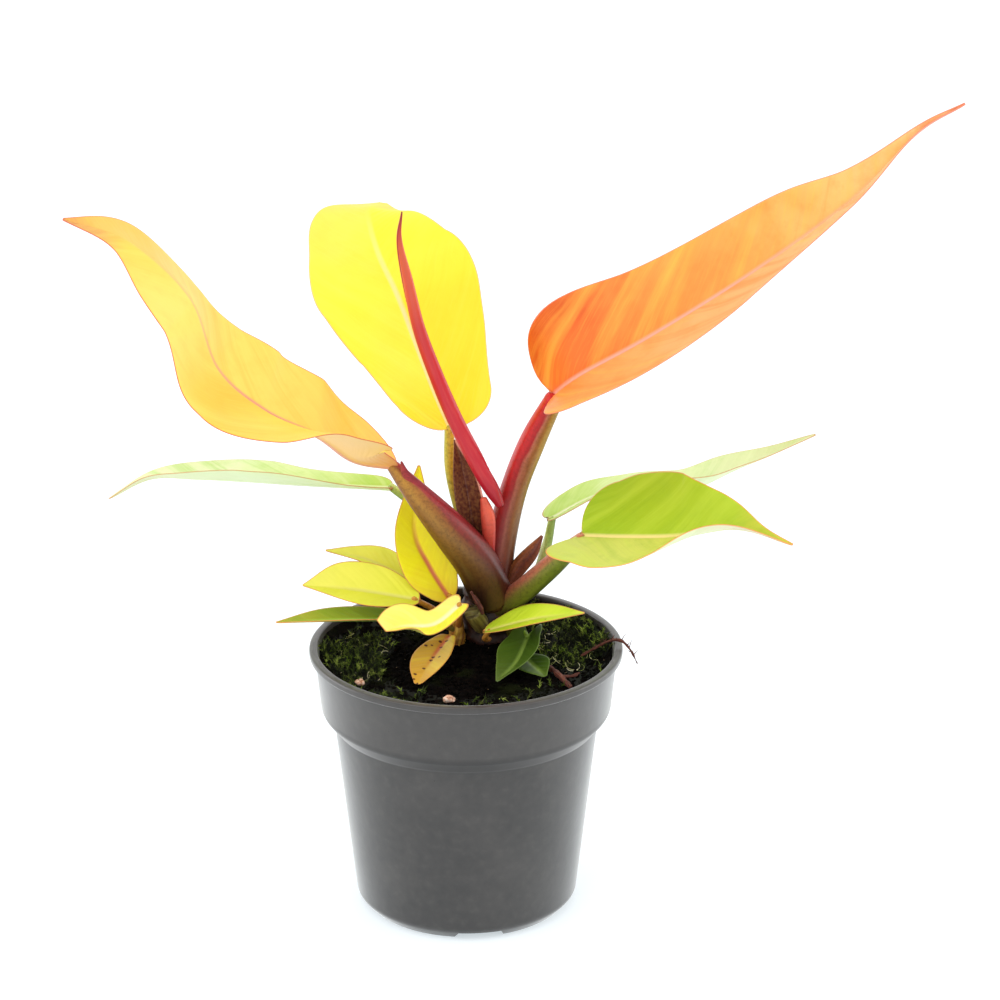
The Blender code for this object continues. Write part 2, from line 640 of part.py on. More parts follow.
def litter():
    """What lies loose on the soil, and the fine root that hangs over the rim."""
    for name, place, reach, turn, height in MOSS:
        moss_patch(name, place, reach, math.radians(turn), height)
    for name, share_x, share_y, radius in GRIT:
        x = share_x * MOUTH_RADIUS
        y = share_y * MOUTH_RADIUS
        stone = bmesh.new()
        bmesh.ops.create_icosphere(stone, subdivisions=2, radius=radius * MM)
        for vert in stone.verts:
            vert.co.z *= 0.75
        centre = (x * MM, y * MM, (soil_height(x, y) + radius * 0.75 + LITTER_LIFT) * MM)
        bmesh.ops.translate(stone, verts=stone.verts, vec=centre)
        mesh = bpy.data.meshes.new(name)
        stone.to_mesh(mesh)
        stone.free()
        add_object(name, mesh, "grit")
    twig = [(x * MOUTH_RADIUS, y * MOUTH_RADIUS, up) for x, y, up in TWIG]
    lying_piece("twig_front", twig, [0.7, 0.8, 0.6], "dry_stem")
    start = 0.78 * MOUTH_RADIUS
    over_rim = [
        (start, 1, soil_height(start, 1) + 3.2),
        (MOUTH_RADIUS - 4, 0, POT_HEIGHT + 0.6),
        (RIM_RADIUS - 1.5, -1, POT_HEIGHT + 2.4),
        (RIM_RADIUS + 2.5, -2.5, POT_HEIGHT - 0.5),
        (RIM_RADIUS + 5.5, -4, POT_HEIGHT - 6),
    ]
    tube("root_over_rim", over_rim, [0.8, 0.9, 0.9, 0.8, 0.4], finish="dry_stem")


nursery_pot()
potting_soil()
crown_clearance, offshoot_clearance = stem_and_roots()
stalk_clearances = stalks(crown_clearance)
large_leaves(stalk_clearances)
small_leaves({"crown": crown_clearance, "offshoot": offshoot_clearance})
stubs(crown_clearance, stalk_clearances)
litter()
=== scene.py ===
"""A young philodendron in its nursery pot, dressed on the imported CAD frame.

The sections follow the plant as it is put together: studio, pot, soil, moss, litter, stem, then each
leaf with its stalk. Sizes are in millimetres and become metres where a mesh is made.
"""

import json
import math
import bmesh
import bpy
import numpy as np
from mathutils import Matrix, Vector, noise

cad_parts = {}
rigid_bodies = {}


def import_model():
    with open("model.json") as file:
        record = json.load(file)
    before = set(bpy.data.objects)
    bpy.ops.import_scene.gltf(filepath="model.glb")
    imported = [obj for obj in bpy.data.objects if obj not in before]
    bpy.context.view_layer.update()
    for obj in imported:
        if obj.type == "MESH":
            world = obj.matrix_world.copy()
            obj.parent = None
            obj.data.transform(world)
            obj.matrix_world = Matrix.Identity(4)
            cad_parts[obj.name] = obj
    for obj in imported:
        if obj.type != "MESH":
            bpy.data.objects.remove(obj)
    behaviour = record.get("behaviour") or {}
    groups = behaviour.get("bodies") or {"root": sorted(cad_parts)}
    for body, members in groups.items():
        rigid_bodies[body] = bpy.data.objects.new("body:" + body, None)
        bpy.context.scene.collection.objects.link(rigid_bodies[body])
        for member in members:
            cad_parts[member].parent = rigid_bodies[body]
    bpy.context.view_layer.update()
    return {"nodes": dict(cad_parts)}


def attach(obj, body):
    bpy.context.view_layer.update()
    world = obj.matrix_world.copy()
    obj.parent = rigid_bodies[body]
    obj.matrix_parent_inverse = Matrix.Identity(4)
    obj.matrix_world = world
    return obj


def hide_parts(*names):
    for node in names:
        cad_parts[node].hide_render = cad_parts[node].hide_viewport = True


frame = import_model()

MM = 0.001

# ---------------------------------------------------------------------------------------------
# Studio: a seamless pale floor, a white room, two large soft lamps and two low rim lamps, with the
# camera at eye height in front. None of it belongs to the plant.


def srgb(code):
    """A hex colour as linear light."""
    values = [int(code[place : place + 2], 16) / 255 for place in (1, 3, 5)]
    return (*[v / 12.92 if v <= 0.04045 else ((v + 0.055) / 1.055) ** 2.4 for v in values], 1.0)


def fill(tree, node, inputs):
    """Set a node's inputs. A node stands for its first live output, and "#RRGGBB" for a colour."""
    for key, value in inputs.items():
        if isinstance(value, bpy.types.Node):
            value = next(socket for socket in value.outputs if socket.enabled)
        if isinstance(value, bpy.types.NodeSocket):
            tree.links.new(value, node.inputs[key])
        else:
            node.inputs[key].default_value = srgb(value) if str(value).startswith("#") else value


def add(tree, kind, inputs=None, stops=None, **settings):
    """Add one node with its settings, its inputs and a ramp's stops; a bare kind is a shader node."""
    made = tree.nodes.new(kind if "Node" in kind else "ShaderNode" + kind)
    for name, value in settings.items():
        setattr(made, name, value)
    fill(tree, made, inputs or {})
    if stops:
        elements = made.color_ramp.elements
        while len(elements) < len(stops):
            elements.new(0.5)
        for element, (place, code) in zip(elements, stops):
            element.position = place
            element.color = srgb(code)
    return made


def new_finish(name, roughness, ior=1.45, specular=0.5):
    """A new material with one Principled shader, whose plain numbers are set on its own sockets."""
    made = bpy.data.materials.new(name)
    made.use_nodes = True
    tree, shader = made.node_tree, made.node_tree.nodes["Principled BSDF"]
    fill(tree, shader, {"Roughness": roughness, "IOR": ior, "Specular IOR Level": specular})
    return made, tree, shader


def in_scene(name, data):
    """A new object of the data, in the scene, at the origin."""
    made = bpy.data.objects.new(name, data)
    bpy.context.scene.collection.objects.link(made)
    return made


def mesh_piece(name, points, faces, finish, smooth=True):
    """A finished object at the origin from points in millimetres."""
    mesh = bpy.data.meshes.new(name)
    mesh.from_pydata([tuple(p * MM) for p in np.asarray(points, float)], [], [tuple(f) for f in faces])
    mesh.materials.append(finish)
    if smooth:
        mesh.shade_smooth()
    return in_scene(name, mesh)


def belong(piece, slot, *nodes):
    """The piece rides on the one body and stands for the nodes; the slot is not used."""
    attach(piece, "root")
    if nodes:
        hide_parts(*nodes)


bpy.context.scene.view_settings.view_transform = "Standard"

TILT_DOWN = 21.07  # degrees, from 1.5 m in front of the pot
camera = in_scene("camera", bpy.data.cameras.new("camera"))
camera.data.sensor_width = 36.0
camera.data.lens = 152.57
camera.data.clip_end = 50.0
camera.location = (0.013, -1.49304, 0.73962)
camera.rotation_euler = (math.radians(90 - TILT_DOWN), 0, 0)
bpy.context.scene.camera = camera

# Matt translucent vinyl on a light table: it glows from below, so a foot leaves hardly a shadow.
floor_vinyl, tree, shader = new_finish("light_table_vinyl", 0.6)
grain = add(tree, "TexNoise", {"Scale": 6.0, "Detail": 3.0})
tone = add(tree, "ValToRGB", {0: grain}, stops=[(0.3, "#B8BABC"), (0.7, "#BEBFC0")])
fill(tree, shader, {"Base Color": tone, "Emission Color": "#F0FAFF", "Emission Strength": 0.6})
FLOOR_REACH = 9000.0
FLOOR_GAP = 0.05
corners = [(x * FLOOR_REACH, y * FLOOR_REACH, -FLOOR_GAP) for x, y in ((-1, -1), (1, -1), (1, 1), (-1, 1))]
mesh_piece("studio_floor", corners, [(0, 1, 2, 3)], floor_vinyl, smooth=False)

world = bpy.data.worlds.new("white_room")
world.use_nodes = True
fill(world.node_tree, world.node_tree.nodes["Background"], {"Color": "#FFFFFF", "Strength": 1.06})
bpy.context.scene.world = world

PLANT_MIDDLE = Vector((0.0, 0.0, 0.15))
for name, place, size, power in (
    ("key_softbox", (-1.3, -1.5, 2.5), 2.4, 24.0),
    ("fill_softbox", (1.9, -0.5, 1.8), 2.0, 10.0),
    ("left_rim_softbox", (-1.3, 0.3, 0.4), 0.9, 7.0),
    ("right_rim_softbox", (1.3, 0.3, 0.4), 0.9, 5.5),
):
    lamp = in_scene(name, bpy.data.lights.new(name, "AREA"))
    lamp.data.shape = "SQUARE"
    lamp.data.size = size
    lamp.data.energy = power
    lamp.location = place
    lamp.rotation_euler = (PLANT_MIDDLE - Vector(place)).to_track_quat("-Z", "Y").to_euler()

# ---------------------------------------------------------------------------------------------
# Nursery pot: thin polypropylene, injection moulded in one piece from recycled grey-brown plastic,
# with a rolled lip, a stacking collar over a stepped taper, a notched foot and drain holes.

POT_TURNS = 168
POT_OUTSIDE = [  # radius, height, rounding of the corner
    (57.0, 105.0, 0.5), (60.0, 105.0, 0.9), (60.0, 102.3, 0.7), (57.8, 102.3, 0.3),
    (55.6, 80.3, 1.6), (50.6, 74.3, 0.5), (42.6, 4.0, 1.5), (38.9, 0.0, 0.3),
]
POT_INSIDE = [
    (37.7, 0.0, 0.2), (38.2, 3.3, 0.3), (12.0, 3.3, 0.3), (12.0, 0.0, 0.3), (0.0, 0.0, 0),
    (0.0, 1.2, 0), (10.8, 1.2, 0.3), (10.8, 4.5, 0.3), (39.9, 4.5, 0.6), (41.4, 6.0, 0.6),
    (49.4, 73.8, 0.5), (54.4, 79.8, 1.2), (56.6, 101.8, 0.6),
]


def rounded(profile, steps=4):
    """The profile's points with each corner turned into a short curve."""
    out = []
    count = len(profile)
    for index, (r, z, bend) in enumerate(profile):
        here = np.array((r, z))
        if not bend:
            out.append(here)
            continue
        before = np.array(profile[index - 1][:2]) - here
        after = np.array(profile[(index + 1) % count][:2]) - here
        bend = min(bend, np.linalg.norm(before) * 0.45, np.linalg.norm(after) * 0.45)
        start = here + before / np.linalg.norm(before) * bend
        end = here + after / np.linalg.norm(after) * bend
        for t in np.linspace(0, 1, steps):
            out.append((1 - t) ** 2 * start + 2 * t * (1 - t) * here + t**2 * end)
    return out


def turned_mesh(name, ring, turns):
    """A closed turned solid from a loop of (radius, height) points."""
    made = bmesh.new()
    first = [made.verts.new((r * MM, 0, z * MM)) for r, z in ring]
    edges = [made.edges.new((first[i], first[(i + 1) % len(first)])) for i in range(len(first))]
    bmesh.ops.spin(made, geom=first + edges, axis=(0, 0, 1), cent=(0, 0, 0), steps=turns,
                   angle=2 * math.pi, use_merge=True)
    bmesh.ops.remove_doubles(made, verts=made.verts, dist=0.000004)
    bmesh.ops.recalc_face_normals(made, faces=made.faces)
    mesh = bpy.data.meshes.new(name)
    made.to_mesh(mesh)
    made.free()
    return mesh


def baked(piece, name):
    """The evaluated piece as a plain mesh object; the piece and its modifiers are removed."""
    bpy.context.view_layer.update()
    mesh = bpy.data.meshes.new_from_object(piece.evaluated_get(bpy.context.evaluated_depsgraph_get()))
    bpy.data.objects.remove(piece, do_unlink=True)
    mesh.name = name
    return in_scene(name, mesh)


# Matt polypropylene with regrind in it: an even warm grey, faintly mottled, dusty from the bench and
# spotted with splashed soil, and soil clings inside the rim. The collar and lip are painted paler as
# painted light, and the slope under the collar is painted near black as painted shade.
pot_plastic, tree, shader = new_finish("moulded_recycled_polypropylene", 0.36, 1.5, 0.5)
place = add(tree, "TexCoord").outputs["Object"]
mottle = add(tree, "TexNoise", {"Vector": place, "Scale": 260.0, "Detail": 5.0})
tone = add(tree, "ValToRGB", {0: mottle}, stops=[(0.3, "#242120"), (0.55, "#2C2927"), (0.75, "#363330")])
dust = add(tree, "TexNoise", {"Vector": place, "Scale": 30.0, "Detail": 6.0})
dust_amount = add(tree, "MapRange", {0: dust, 1: 0.5, 2: 0.78, 3: 0.0, 4: 0.35})
dusty = add(tree, "Mix", {0: dust_amount, 6: tone, 7: "#524E4B"}, data_type="RGBA")
drops = add(tree, "TexVoronoi", {"Vector": place, "Scale": 170.0})
drop_size = add(tree, "TexNoise", {"Vector": place, "Scale": 24.0, "Detail": 2.0})
drop_reach = add(tree, "MapRange", {0: drop_size, 1: 0.52, 2: 0.75, 3: 0.0, 4: 0.14})
drop_mask = add(tree, "Math", {0: drops, 1: drop_reach}, operation="LESS_THAN")
spotted = add(tree, "Mix", {0: drop_mask, 6: dusty, 7: "#140D0A"}, data_type="RGBA")
parts = add(tree, "SeparateXYZ", {0: place})
flat_place = add(tree, "CombineXYZ", {0: parts.outputs[0], 1: parts.outputs[1]})
from_axis = add(tree, "VectorMath", {0: flat_place}, operation="LENGTH")
smear = add(tree, "TexNoise", {"Vector": place, "Scale": 180.0, "Detail": 4.0})
smear_width = add(tree, "MapRange", {0: smear, 1: 0.35, 2: 0.65, 3: 0.0001, 4: 0.0019})
on_lip = add(tree, "MapRange", {0: parts.outputs[2], 1: 0.1035, 2: 0.1042})
wall_middle = add(tree, "Math", {0: parts.outputs[2], 1: 0.1, 2: 0.047}, operation="MULTIPLY_ADD")
smear_reach = add(tree, "Math", {0: smear_width, 1: on_lip, 2: wall_middle}, operation="MULTIPLY_ADD")
inner = add(tree, "Math", {0: from_axis, 1: smear_reach}, operation="LESS_THAN")
high = add(tree, "MapRange", {0: parts.outputs[2], 1: 0.080, 2: 0.084})
soiled_wall = add(tree, "Math", {0: inner, 1: high}, operation="MULTIPLY")
# Painted light: the collar and everything above it is painted paler.
collar_painted_light = add(tree, "MapRange", {0: parts.outputs[2], 1: 0.0795, 2: 0.0825, 3: 0.0, 4: 0.22})
collar_painted_paler = add(tree, "Mix", {0: collar_painted_light, 6: spotted, 7: "#524E4B"}, data_type="RGBA")
# Painted shade: the slope under the collar is painted near black.
below = add(tree, "MapRange", {0: parts.outputs[2], 1: 0.0735, 2: 0.0755})
above = add(tree, "MapRange", {0: parts.outputs[2], 1: 0.0825, 2: 0.0795})
on_slope = add(tree, "Math", {0: below, 1: above}, operation="MULTIPLY")
slope_shade_share = add(tree, "Math", {0: on_slope, 1: 0.75}, operation="MULTIPLY")
slope_painted_shade = add(tree, "Mix", {0: slope_shade_share, 6: collar_painted_paler, 7: "#120F0E"}, data_type="RGBA")
soil_stains_and_painted_light = add(tree, "Mix", {0: soiled_wall, 6: slope_painted_shade, 7: "#1C100C"}, data_type="RGBA")
skin = add(tree, "Bump", {"Strength": 0.25, "Distance": 0.0002, "Height": mottle})
worn = add(tree, "MapRange", {0: dust, 1: 0.3, 2: 0.7, 3: 0.3, 4: 0.42})
duller = add(tree, "Math", {0: on_slope, 1: 0.5, 2: worn}, operation="MULTIPLY_ADD")
fill(tree, shader, {"Base Color": soil_stains_and_painted_light, "Normal": skin, "Roughness": duller, "Sheen Weight": 0.8,
                    "Sheen Roughness": 0.3, "Coat Weight": 0.35, "Coat Roughness": 0.3})

DRAINS, DRAIN_RADIUS, DRAIN_CIRCLE, DRAIN_MIDDLE = 8, 4.0, 24.0, 3.9
NOTCHES, NOTCH_TURN, NOTCH_DEPTH = 4, 7.5, 14.8
NOTCH_FOOT, NOTCH_HEAD = (20.5, -2.0), (16.5, 2.9)  # width and height of its two edges

pot_shell = in_scene("pot_shell", turned_mesh("pot_shell", rounded(POT_OUTSIDE + POT_INSIDE), POT_TURNS))
cutter = bmesh.new()
for index in range(DRAINS):
    turn = 2 * math.pi * (index + 0.5) / DRAINS
    hole = bmesh.ops.create_cone(cutter, cap_ends=True, segments=28, radius1=DRAIN_RADIUS * MM,
                                 radius2=DRAIN_RADIUS * MM, depth=0.005)
    centre = Vector((DRAIN_CIRCLE * math.cos(turn), DRAIN_CIRCLE * math.sin(turn), DRAIN_MIDDLE)) * MM
    bmesh.ops.translate(cutter, verts=hole["verts"], vec=centre)
for index in range(NOTCHES):
    turn = math.radians(NOTCH_TURN - 90 + 90 * index)
    for vert in bmesh.ops.create_cube(cutter, size=1.0)["verts"]:
        width, height = NOTCH_FOOT if vert.co.z < 0 else NOTCH_HEAD
        across = (POT_OUTSIDE[-1][0] + vert.co.x * NOTCH_DEPTH) * MM
        beside = vert.co.y * width * MM
        vert.co = (across * math.cos(turn) - beside * math.sin(turn),
                   across * math.sin(turn) + beside * math.cos(turn), height * MM)
bmesh.ops.recalc_face_normals(cutter, faces=cutter.faces)
cutter_mesh = bpy.data.meshes.new("pot_openings")
cutter.to_mesh(cutter_mesh)
cutter.free()
openings = in_scene("pot_openings", cutter_mesh)
cut = pot_shell.modifiers.new("openings", "BOOLEAN")
cut.solver = "EXACT"
cut.object = openings
pot = baked(pot_shell, "pot")
bpy.data.objects.remove(openings, do_unlink=True)
pot.data.materials.clear()
pot.data.materials.append(pot_plastic)
pot.data.shade_smooth()
pot.data.set_sharp_from_angle(angle=math.radians(40))
belong(pot, "pot_plastic", "nursery_pot")

# ---------------------------------------------------------------------------------------------
# Potting soil: peat with bark and coir, pressed in by hand and watered, so its top is crumbly,
# uneven and heaped round the stem. The roots inside it stay as the CAD has them.

SOIL_TOP = 97.0
CROWN_FOOT = np.array((8.0, 21.0, SOIL_TOP))
SOIL_WALL = [(56.0, 97.0), (54.1, 80.1), (49.1, 74.1), (41.1, 6.3), (39.6, 4.8), (0.0, 4.8)]


def soil_height(x, y):
    """The top of the soil: the CAD's level, ripples and heap, without the crumbs."""
    away = (x - CROWN_FOOT[0]) ** 2 + (y - CROWN_FOOT[1]) ** 2
    heap = 4.0 * np.exp(-away / (2 * 14.0**2))
    ripple = np.sin(x / 7.3 + 0.4) * np.cos(y / 8.1) + 0.6 * np.sin((x + y) / 9.7)
    bank = 6.0 * np.clip((np.hypot(x, y) - 46) / 10, 0, 1) ** 2
    return SOIL_TOP + heap + 0.6 * ripple + bank


def lumps(x, y, scale, octaves, seed):
    """Fractal noise from -1 to 1 at places in millimetres."""
    return np.array([noise.fractal(Vector((a / scale, b / scale, seed)), 0.9, 2.1, octaves)
                     for a, b in zip(x, y)])


# Damp peat: nearly black-brown, with redder bark bits and pale mineral specks, and no shine except
# where it is wet.
peat, tree, shader = new_finish("damp_peat_and_bark", 1.0, 1.4, 0.08)
place = add(tree, "TexCoord").outputs["Object"]
crumb = add(tree, "TexNoise", {"Vector": place, "Scale": 420.0, "Detail": 6.0, "Roughness": 0.7})
tone = add(tree, "ValToRGB", {0: crumb},
           stops=[(0.32, "#020101"), (0.5, "#060403"), (0.64, "#120B08"), (0.8, "#32211A")])
flecks = add(tree, "TexVoronoi", {"Vector": place, "Scale": 340.0})
fleck_mask = add(tree, "Math", {0: flecks, 1: 0.1}, operation="LESS_THAN")
fleck_pick = add(tree, "SeparateColor", {0: flecks.outputs["Color"]})
fleck_few = add(tree, "Math", {0: fleck_pick.outputs[0], 1: 0.86}, operation="GREATER_THAN")
fleck = add(tree, "Math", {0: fleck_mask, 1: fleck_few}, operation="MULTIPLY")
soiled = add(tree, "Mix", {0: fleck, 6: tone, 7: "#9A8468"}, data_type="RGBA")
film = add(tree, "TexNoise", {"Vector": place, "Scale": 55.0, "Detail": 4.0})
film_amount = add(tree, "MapRange", {0: film, 1: 0.55, 2: 0.7, 3: 0.0, 4: 0.4})
greened = add(tree, "Mix", {0: film_amount, 6: soiled, 7: "#232B0D"}, data_type="RGBA")
rough = add(tree, "Bump", {"Strength": 0.9, "Distance": 0.0006, "Height": crumb})
fill(tree, shader, {"Base Color": greened, "Normal": rough})

SOIL_RINGS = 96
SOIL_TURNS = 260
ring_share = np.linspace(0, 1, SOIL_RINGS + 1)[1:]
around = np.linspace(0, 2 * math.pi, SOIL_TURNS, endpoint=False)
soil_x = np.outer(ring_share, np.cos(around)).ravel() * SOIL_WALL[0][0]
soil_y = np.outer(ring_share, np.sin(around)).ravel() * SOIL_WALL[0][0]
edge_fade = np.clip((1 - np.repeat(ring_share, SOIL_TURNS)) / 0.05, 0.25, 1)
crumbs_up = lumps(soil_x, soil_y, 9.0, 5, 3.1) * 1.3 + lumps(soil_x, soil_y, 2.6, 3, 8.4) * 0.7
top = np.stack([soil_x, soil_y, soil_height(soil_x, soil_y) + crumbs_up * edge_fade], axis=1)
points = [np.array([[0.0, 0.0, soil_height(0.0, 0.0) + 0.3]]), top]
for r, z in SOIL_WALL[1:-1]:
    points.append(np.stack([r * np.cos(around), r * np.sin(around), np.full(SOIL_TURNS, z)], axis=1))
points.append(np.array([[0.0, 0.0, SOIL_WALL[-1][1]]]))
points = np.concatenate(points)
faces = []
bands = SOIL_RINGS + len(SOIL_WALL) - 2
for index in range(SOIL_TURNS):
    after = (index + 1) % SOIL_TURNS
    faces.append((0, 1 + index, 1 + after))
    for band in range(bands - 1):
        low = 1 + band * SOIL_TURNS
        high = low + SOIL_TURNS
        faces.append((low + index, high + index, high + after, low + after))
    last = 1 + (bands - 1) * SOIL_TURNS
    faces.append((last + after, last + index, len(points) - 1))
soil = mesh_piece("soil", points, faces, peat)
belong(soil, "soil", "potting_soil")


def named_inputs(tree, *sockets):
    """Give a node tree a geometry input and output, and the named inputs after it."""
    tree.interface.new_socket(name="Geometry", in_out="INPUT", socket_type="NodeSocketGeometry")
    for name, kind in sockets:
        tree.interface.new_socket(name=name, in_out="INPUT", socket_type=kind)
    tree.interface.new_socket(name="Geometry", in_out="OUTPUT", socket_type="NodeSocketGeometry")
    return tree.nodes.new("NodeGroupInput"), tree.nodes.new("NodeGroupOutput")


def grown(name, base, tree, **values):
    """Run a node tree on a base object, with its inputs set by name, and keep the plain mesh."""
    growth = base.modifiers.new("growth", "NODES")
    growth.node_group = tree
    for item in tree.interface.items_tree:
        if item.in_out == "INPUT" and item.name in values:
            growth[item.identifier] = values[item.name]
    return baked(base, name)


def new_tree(name, *numbers):
    """A growth tree with its named number inputs, then a seed and a finish."""
    tree = bpy.data.node_groups.new(name, "GeometryNodeTree")
    sockets = [(number, "NodeSocketFloat") for number in numbers]
    return tree, *named_inputs(tree, *sockets, ("Seed", "NodeSocketInt"), ("Finish", "NodeSocketMaterial"))


def scatter(tree, group_in, group_out, shape, tilt, sizes, scale, density=None, chosen=None, shade=True,
            keep_base=False):
    """Set the shape on random points of the base, tilted and sized by chance, made real and finished."""
    seed = group_in.outputs["Seed"]
    places = {"Mesh": group_in.outputs["Geometry"], "Density": density or group_in.outputs["Density"],
              "Seed": seed}
    if chosen:
        places["Selection"] = chosen
    spread = add(tree, "GeometryNodeDistributePointsOnFaces", places, distribute_method="RANDOM")
    least, most = [(angle, angle, round_turn) for angle, round_turn in zip(tilt, (0.0, 6.28))]
    turn = add(tree, "FunctionNodeRandomValue", {0: least, 1: most, "Seed": seed}, data_type="FLOAT_VECTOR")
    size = add(tree, "FunctionNodeRandomValue", {2: sizes[0], 3: sizes[1], "Seed": seed}, data_type="FLOAT")
    grown_on = add(tree, "GeometryNodeInstanceOnPoints",
                   {"Points": spread, "Instance": shape, "Rotation": turn, "Scale": scale(size)})
    if shade:
        chance = add(tree, "FunctionNodeRandomValue", {2: 0.0, 3: 1.0, "Seed": seed}, data_type="FLOAT")
        grown_on = add(tree, "GeometryNodeStoreNamedAttribute",
                       {"Geometry": grown_on, "Name": "shade", "Value": chance}, data_type="FLOAT",
                       domain="INSTANCE")
    if keep_base:
        both = add(tree, "GeometryNodeJoinGeometry", {0: group_in.outputs["Geometry"]})
        fill(tree, both, {0: grown_on})
        grown_on = both
    real = add(tree, "GeometryNodeRealizeInstances", {0: grown_on})
    finished = add(tree, "GeometryNodeSetMaterial",
                   {"Geometry": real, "Material": group_in.outputs["Finish"]})
    fill(tree, group_out, {0: finished})


# Crumbs: small craggy lumps, a little longer than wide, lying every way.
crumb_tree, group_in, group_out = new_tree("crumbs_over_soil", "Density", "Smallest", "Largest", "Stretch")
lump = add(crumb_tree, "GeometryNodeMeshIcoSphere", {"Radius": 1.0, "Subdivisions": 1})
where = add(crumb_tree, "GeometryNodeInputPosition")
knobs = add(crumb_tree, "TexNoise", {"Vector": where, "Scale": 1.3, "Detail": 2.0})
pull = add(crumb_tree, "MapRange", {0: knobs, 1: 0.2, 2: 0.8, 3: -0.55, 4: 0.45})
push = add(crumb_tree, "VectorMath", {0: where, "Scale": pull}, operation="SCALE")
craggy = add(crumb_tree, "GeometryNodeSetPosition", {"Geometry": lump, "Offset": push})


def stretched(size):
    """A crumb's scale: its chance size, and that size stretched along one axis."""
    longer = add(crumb_tree, "Math", {0: size, 1: group_in.outputs["Stretch"]}, operation="MULTIPLY")
    return add(crumb_tree, "CombineXYZ", {0: longer, 1: size, 2: size})


scatter(crumb_tree, group_in, group_out, craggy, (0.0, 0.8),
        (group_in.outputs["Smallest"], group_in.outputs["Largest"]), stretched, shade=False)


def soil_cover(name, inside, rise=0.2):
    """A sheet that follows the soil where inside(x, y) holds, as a base to grow things on."""
    reach, step = 54.0, 1.6
    places = np.arange(-reach, reach + step, step)
    grid_x, grid_y = [a.ravel() for a in np.meshgrid(places, places, indexing="ij")]
    keep = inside(grid_x, grid_y)
    up = soil_height(grid_x, grid_y) + rise
    number = np.cumsum(keep) - 1
    count = len(places)
    cells = []
    for i in range(count - 1):
        for j in range(count - 1):
            corners = [i * count + j, (i + 1) * count + j, (i + 1) * count + j + 1, i * count + j + 1]
            if all(keep[c] for c in corners):
                cells.append([number[c] for c in corners])
    points = np.stack([grid_x, grid_y, up], axis=1)[keep]
    return mesh_piece(name, points, cells, peat)


bed = soil_cover("crumb_bed", lambda x, y: x**2 + y**2 < 53.5**2)
soil_crumbs = grown("soil_crumbs", bed, crumb_tree, Density=190000.0, Smallest=0.0003, Largest=0.0011,
                    Stretch=1.4, Seed=4, Finish=peat)
belong(soil_crumbs, "soil")


def grained_finish(name, roughness, source, scale, detail, stops, relief=None, **gloss):
    """A finish made by one noise: its stops give the colour, and relief (strength, depth) the dents."""
    made, tree, shader = new_finish(name, roughness, **gloss)
    if source == "Object":
        place = add(tree, "TexCoord").outputs["Object"]
    else:
        place = add(tree, "Attribute", attribute_name=source).outputs["Vector"]
    grain = add(tree, "TexNoise", {"Vector": place, "Scale": scale, "Detail": detail})
    fill(tree, shader, {"Base Color": add(tree, "ValToRGB", {0: grain}, stops=stops)})
    if relief:
        dents = add(tree, "Bump", {"Strength": relief[0], "Distance": relief[1], "Height": grain})
        fill(tree, shader, {"Normal": dents})
    return made


# The roots are out of sight in the soil: pale brown and fleshy, as the CAD has them.
root_skin = grained_finish("fleshy_root_skin", 0.6, "Object", 300.0, 4.0,
                           [(0.35, "#7A5A3C"), (0.65, "#B59A74")])
for index in range(1, 5):
    frame["nodes"][f"root_{index}"].data.materials.clear()
    frame["nodes"][f"root_{index}"].data.materials.append(root_skin)

# ---------------------------------------------------------------------------------------------
# Moss: living cushions that crept over the damp soil along the rim. Each is a low mat with fronds
# 2 to 4 mm long, every frond a fine stem with leaflets set round it.

# Living moss: the mat is nearly black green, and only the tips of the fronds catch the light.
moss_leaf, tree, shader = new_finish("living_moss", 0.75, 1.4, 0.35)
shade = add(tree, "Attribute", attribute_name="shade")
tone = add(tree, "ValToRGB", {0: shade.outputs["Fac"]},
           stops=[(0.0, "#040602"), (0.5, "#0C1204"), (0.78, "#2A380C"), (0.92, "#6C8422"),
                  (1.0, "#B0C058")])
place = add(tree, "TexCoord").outputs["Object"]
sunlit = add(tree, "TexNoise", {"Vector": place, "Scale": 90.0, "Detail": 3.0})
bright = add(tree, "MapRange", {0: sunlit, 1: 0.42, 2: 0.62, 3: 0.75, 4: 0.0})
uneven = add(tree, "Mix", {0: bright, 6: tone, 7: "#0B0D06"}, data_type="RGBA")
fill(tree, shader, {"Base Color": uneven})

moss_tree, group_in, group_out = new_tree("moss_fronds", "Density", "Length")
stem = add(moss_tree, "GeometryNodeMeshCone",
           {"Vertices": 3, "Side Segments": 2, "Fill Segments": 1, "Radius Top": 0.02,
            "Radius Bottom": 0.05, "Depth": 1.0}, fill_type="TRIANGLE_FAN")
ladder = add(moss_tree, "GeometryNodeMeshLine",
             {"Count": 7, "Start Location": (0.0, 0.0, 0.2), "Offset": (0.0, 0.0, 0.12)}, mode="OFFSET")
leaflet = add(moss_tree, "GeometryNodeMeshCone",
              {"Vertices": 3, "Side Segments": 1, "Fill Segments": 1, "Radius Top": 0.01,
               "Radius Bottom": 0.075, "Depth": 0.42}, fill_type="TRIANGLE_FAN")
number = add(moss_tree, "GeometryNodeInputIndex")
golden = add(moss_tree, "Math", {0: number, 1: 2.4}, operation="MULTIPLY")
lean = add(moss_tree, "CombineXYZ", {0: 0.85, 2: golden})
leafy = add(moss_tree, "GeometryNodeInstanceOnPoints",
            {"Points": ladder, "Instance": leaflet, "Rotation": lean})
frond = add(moss_tree, "GeometryNodeJoinGeometry", {0: stem})
fill(moss_tree, frond, {0: leafy})
whole = add(moss_tree, "GeometryNodeRealizeInstances", {0: frond})
where = add(moss_tree, "GeometryNodeInputPosition")
height = add(moss_tree, "SeparateXYZ", {0: where})
squared = add(moss_tree, "Math", {0: height.outputs[2], 1: height.outputs[2]}, operation="MULTIPLY")
